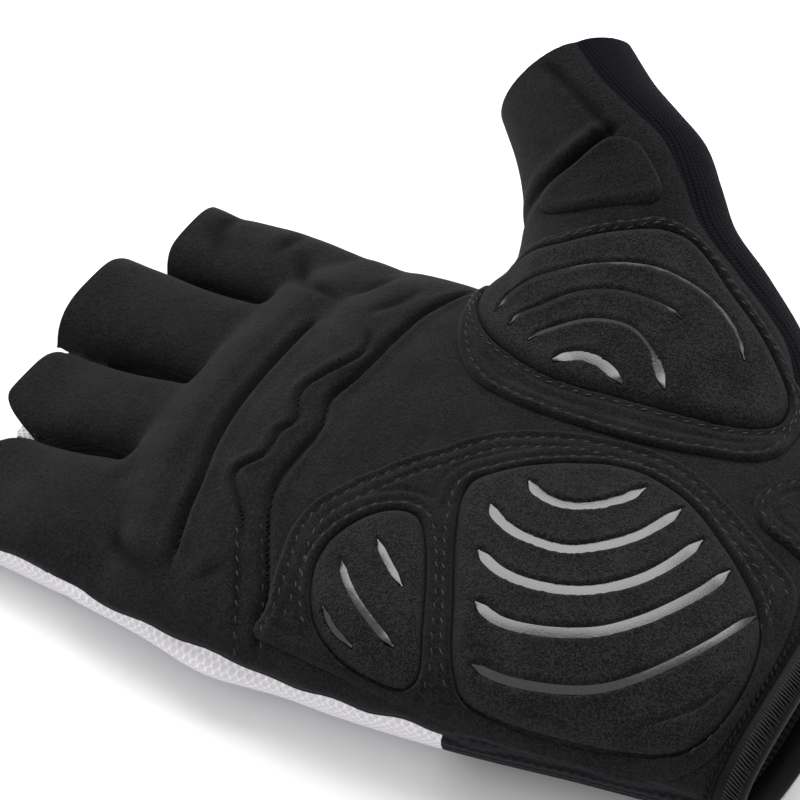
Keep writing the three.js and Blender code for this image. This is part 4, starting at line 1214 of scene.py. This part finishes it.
def laid_piece(name, outline, step, rise, material, windows=()):
    """A closed piece over an outline: rise(points, depth) lifts it above the skin."""
    points, faces = plan_grid(outline.min(axis=0), outline.max(axis=0), step)
    points, faces = kept_where(points, faces, lambda p: depth_inside(p, outline))
    for window in windows:
        points, faces = kept_where(points, faces, lambda p, w=window: -depth_inside(p, w) - WINDOW_ROOM)
    depth = depth_inside(points, outline)
    for window in windows:
        depth = np.minimum(depth, -depth_inside(points, window) - WINDOW_ROOM)
    points[:, 2] = height_on(skin, points)
    level = relaxed(points, faces, 0.5, 3)[:, 2]
    base = level + LAID_ROOM
    points[:, 2] = base + np.maximum(rise(points, np.maximum(depth, 0)), THINNEST)
    whole_points, whole_faces = closed_over(points, faces, base)
    made = plan_object(name, whole_points, whole_faces, material)
    shaded(made, RIM_SHARP_FROM)
    high = round(float((points[:, 2] - level).max()), 2)
    print(name, "has", len(whole_faces), "faces, stands", high, "mm high and covers",
          round(skin_area(points, faces) / 100, 1), "cm2")
    return made, skin_tree(points, faces)


# %% Grooves in the pads
# Each line runs through these points, as shares of palm length and width.
GROOVES = {
    "heel": [
        [(0.575, -0.110), (0.600, -0.131), (0.637, -0.137), (0.674, -0.118),
         (0.706, -0.079), (0.727, -0.034)],
        [(0.547, -0.184), (0.573, -0.209), (0.611, -0.224), (0.671, -0.220),
         (0.717, -0.186), (0.755, -0.132), (0.785, -0.049)],
        [(0.568, -0.278), (0.618, -0.302), (0.675, -0.299), (0.724, -0.278),
         (0.767, -0.239), (0.802, -0.180), (0.830, -0.090)],
        [(0.601, -0.365), (0.650, -0.380), (0.715, -0.363), (0.772, -0.328),
         (0.820, -0.269), (0.861, -0.186), (0.880, -0.120)],
        [(0.636, -0.456), (0.683, -0.455), (0.747, -0.436), (0.806, -0.403),
         (0.855, -0.346), (0.901, -0.261), (0.936, -0.170)],
    ],
    "side": [
        [(0.437, -0.322), (0.466, -0.352), (0.512, -0.392)],
        [(0.409, -0.38), (0.436, -0.414), (0.472, -0.444), (0.541, -0.482)],
        [(0.418, -0.46), (0.45, -0.487), (0.49, -0.503)],
    ],
    "thumb": [
        [(0.498, 0.162), (0.518, 0.181), (0.545, 0.19), (0.578, 0.184), (0.617, 0.162)],
        [(0.45, 0.185), (0.461, 0.207), (0.49, 0.229), (0.521, 0.247), (0.555, 0.257),
         (0.593, 0.256), (0.629, 0.234), (0.652, 0.209), (0.675, 0.176)],
        [(0.41, 0.208), (0.416, 0.236), (0.449, 0.257), (0.489, 0.287), (0.541, 0.31),
         (0.592, 0.316), (0.632, 0.314), (0.653, 0.302)],
        [(0.377, 0.236), (0.382, 0.276), (0.403, 0.299), (0.442, 0.318), (0.49, 0.344),
         (0.542, 0.366), (0.592, 0.378), (0.648, 0.375), (0.693, 0.358),
         (0.732, 0.326), (0.757, 0.286)],
    ],
}
# A fine line near the lower edge of the heel pad is pressed in without film.
HEEL_FINE_LINE = [(0.70, -0.478), (0.823, -0.449), (0.878, -0.411), (0.925, -0.353), (0.951, -0.265)]
LINE_STEP = 0.6
grooves = {}
for part, lines in GROOVES.items():
    grooves[part + "_pad"] = {
        f"{part}_strip_{k + 1}": smooth_line(on_plan(knots), LINE_STEP) for k, knots in enumerate(lines)}
fine_line = smooth_line(on_plan(HEEL_FINE_LINE), LINE_STEP)
GROOVE_WIDTH = {"heel_pad": 2.2, "side_pad": 1.9, "thumb_pad": 1.5}
GROOVE_DEPTH = 0.9
# Widths that differ from their pad's, and the film that grows wider near its end.
OWN_WIDTH = {"thumb_strip_1": 2.2, "thumb_strip_2": 0.95, "thumb_strip_3": 1.05, "thumb_strip_4": 1.05,
             "side_strip_1": 1.6, "side_strip_2": 1.6, "side_strip_3": 1.2, "heel_strip_5": 1.7}
END_GROWTH = {"thumb_strip_2": 1.1}
# Strips 3 and 4 of the thumb pad take the copy of the film that reflects less: painted shade.
DIM_FILM_STRIPS = ("thumb_strip_3", "thumb_strip_4")
# Film that leans towards the palm, and between which distances from its end the lean comes in.
LEANING_STRIPS = {"thumb_strip_2": (5, 9), "thumb_strip_3": (-2, -1), "thumb_strip_4": (-2, -1)}


def half_width(name, pad, run, length):
    """Half a groove's width along its run. It thins out towards both ends."""
    thin = 0.3 + 0.7 * ramp(run, -0.3, 2.2) * ramp(length - run, -0.3, 3.0)
    growth = 1 + END_GROWTH.get(name, 0) * (1 - ramp(length - run, 5, 8))
    return OWN_WIDTH.get(name, GROOVE_WIDTH[pad]) / 2 * thin * growth


def pad_rise(pad, height):
    """The height of a pad over the skin: a rolled edge, a crown and sunk grooves."""
    def rise(points, depth):
        edge = 0.25 + (height - 0.55) * np.sqrt(1 - (1 - np.clip(depth / 2.6, 0, 1)) ** 2)
        crown = 0.3 * ramp(depth, 1.0, 14.0) + 0.08 * ripple(points, 9, 3)
        total = edge + crown
        ragged = 0.1 * ripple(points, 1.7, 5)
        for name, line in grooves[pad].items():
            distance, run, length = near_line(points, line)
            across = np.abs(distance) + ragged
            reach = half_width(name, pad, run, length)
            ends = ramp(run, -0.01, 0.8) * ramp(length - run, -0.01, 0.8)
            bed = 1 - ramp(across, reach - 0.35, reach + 0.15)
            roll = 0.15 * bell(across - reach - 0.6, 0.5)
            total = total - (GROOVE_DEPTH * bed - roll) * ends
        if pad == "heel_pad":
            distance, run, length = near_line(points, fine_line)
            line_ends = ramp(np.minimum(run, length - run), 0, 4)
            total = total - 0.5 * bell(distance, 0.45) * line_ends
            total = total + 0.25 * bell(np.abs(distance) - 0.85, 0.35) * line_ends
        return total
    return rise


outlines = {name: closed_line(shares) for name, shares in OUTLINES.items()}
skins_of = {}
PAD_GRID = 0.42
for name, height in [("heel_pad", 3.1), ("side_pad", 2.7), ("thumb_pad", 2.9)]:
    lift = pad_rise(name, height)
    piece, skins_of[name] = laid_piece(name + "_cushion", outlines[name], PAD_GRID, lift, pad_suede)
    dress(piece, name)

# %% Overlays with rolled edges and a sewn channel
OVERLAY_THICKNESS = 1.1
OVERLAY_GRID = 0.5
PUFF = 0.25


def overlay_rise(channels):
    """The height of an overlay: a rolled edge, a puff beside it and sewn channels."""
    roll = 1.1 if channels else 2.2

    def rise(points, depth):
        edge = OVERLAY_THICKNESS * np.sqrt(1 - (1 - np.clip(depth / roll, 0, 1)) ** 2)
        swell = PUFF * np.sin(np.clip(depth / 1.9, 0, 1) * math.pi) + 0.1 * ripple(points, 7, 11)
        total = edge + swell
        for channel in channels:
            total = total - 0.4 * bell(depth - channel, 0.5)
        return total
    return rise


for name, windows, channels, flat, area in [
    ("heel_overlay", ("heel_pad", "side_pad"), (2.0, 4.4), (0.066, 0.086), 0.0018),
    ("thumb_overlay", ("thumb_pad",), (1.6, 4.0), (0.046, 0.073), 0.0011),
    ("thumb_patch", (), (), (0.015, 0.024), 0.00027),
    ("wrist_tab", (), (1.3, 3.2), (0.0125, 0.018), 0.00019),
]:
    holes = [outlines[w] for w in windows]
    piece, skins_of[name] = laid_piece(
        name + "_cloth", outlines[name], OVERLAY_GRID, overlay_rise(channels), suede, holes)
    dress(piece, name)

# %% [markdown]
# The film lies in the grooves as a flat band. It is drawn as a ribbon whose cross
# section is a shallow arch, resting on the groove's bed.

# %% Film in the grooves
FILM_GAP = 0.12
FILM_THICKNESS = 0.3
FILM_ARCH = 0.03


def left_of(line):
    """Unit directions to the left of a plan line, at each of its points."""
    along = np.gradient(line, axis=0)
    along /= lengths_of(along)[:, None]
    return np.column_stack([-along[:, 1], along[:, 0]])


def averaged(values):
    """Each value's mean with its four neighbours on either side."""
    return np.convolve(np.pad(values, 4, mode="edge"), np.ones(9) / 9, mode="valid")


def woven(rows, count, closed):
    """Triangles between rows of points. When closed, the last row and point join the first."""
    faces = []
    for i in range(rows if closed else rows - 1):
        for j in range(count if closed else count - 1):
            a, b = i * count + j, i * count + (j + 1) % count
            c, d = (i + 1) % rows * count + (j + 1) % count, (i + 1) % rows * count + j
            faces += [(a, b, c), (a, c, d)]
    return np.array(faces)


def film_band(name, line, pad):
    across = left_of(line)
    shares = np.linspace(-1, 1, 9)
    run = LINE_STEP * np.arange(len(line))
    reach = np.maximum(half_width(name, pad, run, run[-1]) - 0.2, 0.12)
    rows = [line + s * reach[:, None] * across for s in shares]
    bed = height_on(skins_of[pad], np.vstack(rows)).reshape(len(shares), -1)
    middle, tilt = averaged(bed[4]), averaged(bed[6] - bed[2])
    if name in LEANING_STRIPS:
        tilt = tilt + 0.3 * reach * ramp(run[-1] - run, *LEANING_STRIPS[name])
    points = []
    for s, row in zip(shares, rows):
        level = middle + tilt * s + FILM_GAP + FILM_THICKNESS + FILM_ARCH * (1 - s * s)
        points.append(np.column_stack([row, level]))
    points, faces = np.vstack(points), woven(len(shares), len(line), False)[:, ::-1]
    if np.cross(*(points[faces[0][1:]] - points[faces[0][0]]))[2] < 0:
        faces = faces[:, ::-1]
    base = np.concatenate([middle + tilt * s + FILM_GAP for s in shares])
    material = dim_film_copy if name in DIM_FILM_STRIPS else film
    made = plan_object(name + "_film", *closed_over(points, faces, base), material)
    shaded(made, SHARP_FROM)
    dress(made, name)


for pad, lines in grooves.items():
    for name, line in lines.items():
        film_band(name, line[1:-1], pad)
print("laid", sum(len(lines) for lines in grooves.values()), "bands of film")

# %% [markdown]
# ## Stitches
# About 800 small stitches follow lines on the cloth. Geometry Nodes place one stitch
# at each step of a line, turned along it and flat on the cloth, so pitch, length and
# slant stay inputs. The lines are dropped on the skins of the pieces above, and each
# keeps the cloth's own direction as an attribute for the stitch to lie on.

# %% A tree that sews along a line
SLANT_WANDER = 0.12


def stitch_tree():
    tree = bpy.data.node_groups.new("stitch row", "GeometryNodeTree")
    tree.is_modifier = True
    face = tree.interface
    face.new_socket(name="Geometry", in_out="INPUT", socket_type="NodeSocketGeometry")
    for name, value in [("Pitch", 0.0025), ("Length", 0.0018), ("Width", 0.0005), ("Height", 0.0004),
                        ("Slant", 0.15)]:
        face.new_socket(name=name, in_out="INPUT", socket_type="NodeSocketFloat").default_value = value
    face.new_socket(name="Seed", in_out="INPUT", socket_type="NodeSocketInt").default_value = 7
    face.new_socket(name="Finish", in_out="INPUT", socket_type="NodeSocketMaterial")
    face.new_socket(name="Geometry", in_out="OUTPUT", socket_type="NodeSocketGeometry")
    nodes = tree.nodes
    start = nodes.new("NodeGroupInput").outputs
    end = nodes.new("NodeGroupOutput").inputs["Geometry"]

    curve = fed_node(tree, "GeometryNodeMeshToCurve", {"Mesh": start["Geometry"]})
    steps = nodes.new("GeometryNodeResampleCurve")
    steps.mode = "LENGTH"
    feed(tree, steps, {"Curve": curve.outputs["Curve"], "Length": start["Pitch"]})

    tangent = nodes.new("GeometryNodeInputTangent")
    along = nodes.new("FunctionNodeAlignRotationToVector")
    along.axis = "X"
    feed(tree, along, {"Vector": tangent.outputs["Tangent"]})
    up = nodes.new("GeometryNodeInputNamedAttribute")
    up.data_type = "FLOAT_VECTOR"
    up.inputs["Name"].default_value = "cloth_up"
    flat = nodes.new("FunctionNodeAlignRotationToVector")
    flat.axis = "Z"
    flat.pivot_axis = "X"
    feed(tree, flat, {"Rotation": along.outputs["Rotation"], "Vector": up.outputs["Attribute"]})

    wander = nodes.new("FunctionNodeRandomValue")
    wander.data_type = "FLOAT"
    feed(tree, wander, {2: -SLANT_WANDER, 3: SLANT_WANDER, "Seed": start["Seed"]})
    slant = fed_node(tree, "ShaderNodeMath", {0: start["Slant"], 1: wander.outputs[1]})
    turn = fed_node(tree, "ShaderNodeCombineXYZ", {"Z": slant.outputs[0]})
    spin = fed_node(tree, "FunctionNodeEulerToRotation", {"Euler": turn.outputs[0]})
    place = nodes.new("FunctionNodeRotateRotation")
    place.rotation_space = "LOCAL"
    feed(tree, place, {"Rotation": flat.outputs["Rotation"], "Rotate By": spin.outputs["Rotation"]})

    bead = fed_node(tree, "GeometryNodeMeshUVSphere", {"Segments": 8, "Rings": 6, "Radius": 0.5})
    size = fed_node(tree, "ShaderNodeCombineXYZ",
                    {"X": start["Length"], "Y": start["Width"], "Z": start["Height"]})
    sewn = fed_node(tree, "GeometryNodeInstanceOnPoints", {
        "Points": steps.outputs["Curve"], "Instance": bead.outputs["Mesh"],
        "Rotation": place.outputs["Rotation"], "Scale": size.outputs[0]})
    real = fed_node(tree, "GeometryNodeRealizeInstances", {"Geometry": sewn.outputs["Instances"]})
    smooth = fed_node(tree, "GeometryNodeSetShadeSmooth", {"Geometry": real.outputs["Geometry"]})
    finish = fed_node(tree, "GeometryNodeSetMaterial",
                      {"Geometry": smooth.outputs["Geometry"], "Material": start["Finish"]})
    tree.links.new(finish.outputs["Geometry"], end)
    return tree


sewing = stitch_tree()
print("the stitch tree has", len(sewing.nodes), "nodes")

# %% Lines on the cloth, sewn
def sewn_lines(name, lines, slot, finish, **sizes):
    """Stitches along lines, each with its plan points and the cloth's directions there.
    Sizes are in millimetres, the slant in radians."""
    edges, start = [], 0
    for line, _ in lines:
        edges += [(start + k, start + k + 1) for k in range(len(line) - 1)]
        start += len(line)
    points, ups = np.vstack([line for line, _ in lines]), np.vstack([up for _, up in lines])
    mesh = bpy.data.meshes.new(name)
    mesh.from_pydata((points + PLAN_SHIFT) / 1000, edges, [])
    mesh.attributes.new("cloth_up", "FLOAT_VECTOR", "POINT")
    mesh.attributes["cloth_up"].data.foreach_set("vector", ups.ravel())
    made = add_object(name, mesh)
    sew = made.modifiers.new("sew", "NODES")
    sew.node_group = sewing
    sockets = {s.name: s.identifier for s in sewing.interface.items_tree if s.in_out == "INPUT"}
    for size, value in sizes.items():
        sew[sockets[size]] = value if size in ("Seed", "Slant") else value / 1000
    sew[sockets["Finish"]] = finish
    applied(made)
    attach(made, "root")
    print(name, "has", len(made.data.polygons), "faces")
    return made


# A stitch sinks a little into its cloth. Slopes are read over this distance either way, and
# one that is steeper than this is an edge, where a stitch lies level.
STITCH_SINK = 0.05
SLOPE_REACH = 0.8
STEEPEST = 2
NO_SKIN = -1e3
# A row keeps its points that stray less than this from their distance, in runs of at least 5.
STRAY = 0.12
SHORTEST_RUN = 5


def on_skins(line):
    """Plan points lifted onto the highest skin, and the cloth's direction there."""
    line = np.asarray(line, dtype=float)

    def top(points):
        return np.max([ray_heights(tree, points, NO_SKIN) for tree in all_skins], axis=0)

    def slope(step):
        return (top(line + step) - top(line - step)) / (2 * SLOPE_REACH)

    slopes = np.column_stack([slope((SLOPE_REACH, 0)), slope((0, SLOPE_REACH))])
    slopes[np.hypot(*slopes.T) > STEEPEST] = 0
    up = np.column_stack([-slopes, np.ones(len(line))])
    up /= lengths_of(up)[:, None]
    return np.column_stack([line, top(line) - STITCH_SINK]), up


def beside(outline, inward):
    """A line that runs a distance inside a closed outline (outside where it is negative)."""
    closed = closed_up(outline)
    normal = left_of(closed)
    facing = np.sign(((outline.mean(axis=0) - closed) * normal).sum(axis=1).mean())
    return closed + facing * inward * normal


def runs_of(line, keep):
    """The stretches of a line where keep is true, without very short ones."""
    ends = np.flatnonzero(np.diff(np.concatenate([[False], keep, [False]]).astype(int)))
    return [line[a:b] for a, b in zip(ends[::2], ends[1::2]) if b - a >= SHORTEST_RUN]


def off_the_side(line):
    """True on top of the palm. Near the side seam, only rows that run across to it stay."""
    room = line[:, 1] - palm_edge(ULNAR, line[:, 0])
    heading = np.abs(np.gradient(line, axis=0))
    clear = (room > 7.5) | ((room > 2.5) & (heading[:, 1] > heading[:, 0]))
    return clear & (line[:, 0] < PANEL_END_X - 1.0)


all_skins = [skin] + [tree for name, tree in skins_of.items() if not name.endswith("_pad")]
# Rows of stitches: the outline that each follows, and how far inside it.
sewn_rows = []
for name, inward in [
    ("heel_overlay", 2.0), ("heel_overlay", 4.4), ("heel_pad", -1.9), ("side_pad", -1.9),
    ("thumb_overlay", 1.6), ("thumb_pad", -1.7), ("wrist_tab", 1.3),
]:
    line = beside(outlines[name], inward)
    kept = np.abs(depth_inside(line, outlines[name]) - inward) < STRAY
    if not name.startswith("thumb"):
        kept = kept & off_the_side(line)
    sewn_rows += runs_of(line, kept)
for key in ("front stitch line", "rear stitch line"):
    sewn_rows.append(smooth_line(CREASES[key][0], 0.8))
sewn_lines("palm_stitches", [on_skins(line) for line in sewn_rows], "suede", thread,
           Pitch=2.6, Length=1.6, Width=0.38, Height=0.36, Slant=0.3, Seed=3)

# %% [markdown]
# ## The ribbed binding at the wrist
# A folded tape edges the wrist opening. Its face has slanted ribs less than a
# millimetre apart, and a row of chain stitches runs beside it. The tape is one closed
# band, and the same sewing tree sets the ribs across it.

# %% The tape
BINDING_PROFILE = [
    (0.0, 0.2), (0.25, -0.45), (0.9, -0.75), (2.3, -0.85), (3.7, -0.75), (4.35, -0.45),
    (4.6, 0.2), (4.6, 0.9), (4.2, 1.55), (2.3, 1.8), (0.4, 1.55), (0.0, 0.9),
]
BINDING_START = CUFF_X - BINDING_WIDTH


def bowed_ring(x, inset):
    ring = palm_ring(x, inset, CUFF_RING)
    ring[:, 0] += cuff_bow(ring)
    ring[:, 2] = np.maximum(ring[:, 2], 0)
    return ring


rings = [bowed_ring(BINDING_START + dx, inset) for dx, inset in BINDING_PROFILE]
band_points, band_faces = np.vstack(rings), woven(len(rings), CUFF_RING, True)
corners = band_points[band_faces]
volume = np.einsum("ij,ij->i", corners[:, 0], np.cross(corners[:, 1], corners[:, 2])).sum()
if volume < 0:
    band_faces = band_faces[:, ::-1]
binding = plan_object("binding_tape", band_points, band_faces, tape)
binding.data.shade_smooth()
dress(binding, "cuff_binding")

# %% Ribs across the tape, and the chain stitch beside it
LOWEST_STITCH = 0.5


def ring_line(dx, inset):
    """A closed line round the wrist and the direction away from the hand on it."""
    inner, outer = bowed_ring(BINDING_START + dx, inset + 1), bowed_ring(BINDING_START + dx, inset)
    up = outer - inner
    up /= np.maximum(lengths_of(up), 1e-6)[:, None]
    outer[:, 2] = np.maximum(outer[:, 2], LOWEST_STITCH)
    return closed_up(outer), closed_up(up)


hem_ribs = sewn_lines("binding_ribs", [ring_line(2.35, -0.82)], "binding_tape", thread,
                      Pitch=0.6, Length=4.3, Width=0.3, Height=0.7, Slant=1.25, Seed=5)
hem_chain = sewn_lines("chain_stitch", [ring_line(-0.9, -0.1)], "binding_tape", tape,
                       Pitch=1.5, Length=1.5, Width=0.55, Height=0.5, Slant=0.35, Seed=9)
_, flat, area = CUTS["palm_panel"]

# %% Camera, lights and floor
camera_data = bpy.data.cameras.new("camera")
camera_data.lens = 90
camera_data.clip_end = 20
camera = add_object("camera", camera_data)
AZIMUTH, ELEVATION, DISTANCE = math.radians(29), math.radians(45), 0.36697
back = Vector((math.sin(AZIMUTH) * math.cos(ELEVATION), -math.cos(AZIMUTH) * math.cos(ELEVATION),
               math.sin(ELEVATION)))
camera.location = Vector((PLAN_SHIFT + (0, 0, 25)) / 1000) + back * DISTANCE
camera.rotation_euler = (-back).to_track_quat("-Z", "Y").to_euler()
bpy.context.scene.camera = camera

def floor_material():
    material, tree, shader = new_material("studio floor", 0.9, specular=0.2)
    dust = noise_node(tree, place_vector(tree, "Object", (40, 40, 40)), 1.0, 3.0, 0.5)
    coloured(tree, shader, dust, 0.0, 1.0, (0.89, 0.89, 0.89), (0.91, 0.91, 0.91))
    return material


FLOOR_Z = -0.0002
corners = [(-3, -3, FLOOR_Z), (3, -3, FLOOR_Z), (3, 3, FLOOR_Z), (-3, 3, FLOOR_Z)]
floor = add_object("floor", new_mesh("floor", corners, [(0, 1, 2, 3)]))
floor.data.materials.append(floor_material())

world = bpy.data.worlds.new("studio")
bpy.context.scene.world = world
world.use_nodes = True
world.node_tree.nodes["Background"].inputs["Color"].default_value = (1, 1, 1, 1)
world.node_tree.nodes["Background"].inputs["Strength"].default_value = 0.82


def softbox(name, place, aim, size, power):
    light = bpy.data.lights.new(name, "AREA")
    light.shape = "RECTANGLE"
    light.size, light.size_y = size
    light.energy = power
    made = add_object(name, light)
    made.location = place
    made.rotation_euler = (Vector(aim) - Vector(place)).to_track_quat("-Z", "Y").to_euler()


LIGHT_AZIMUTH, LIGHT_ELEVATION = math.radians(122), math.radians(62)
toward_light = Vector((math.cos(LIGHT_AZIMUTH) * math.cos(LIGHT_ELEVATION),
                       math.sin(LIGHT_AZIMUTH) * math.cos(LIGHT_ELEVATION), math.sin(LIGHT_ELEVATION)))
softbox("overhead softbox", toward_light * 1.25, (0, 0, 0.02), (1.1, 0.95), 17)
bpy.context.scene.view_settings.view_transform = "Standard"
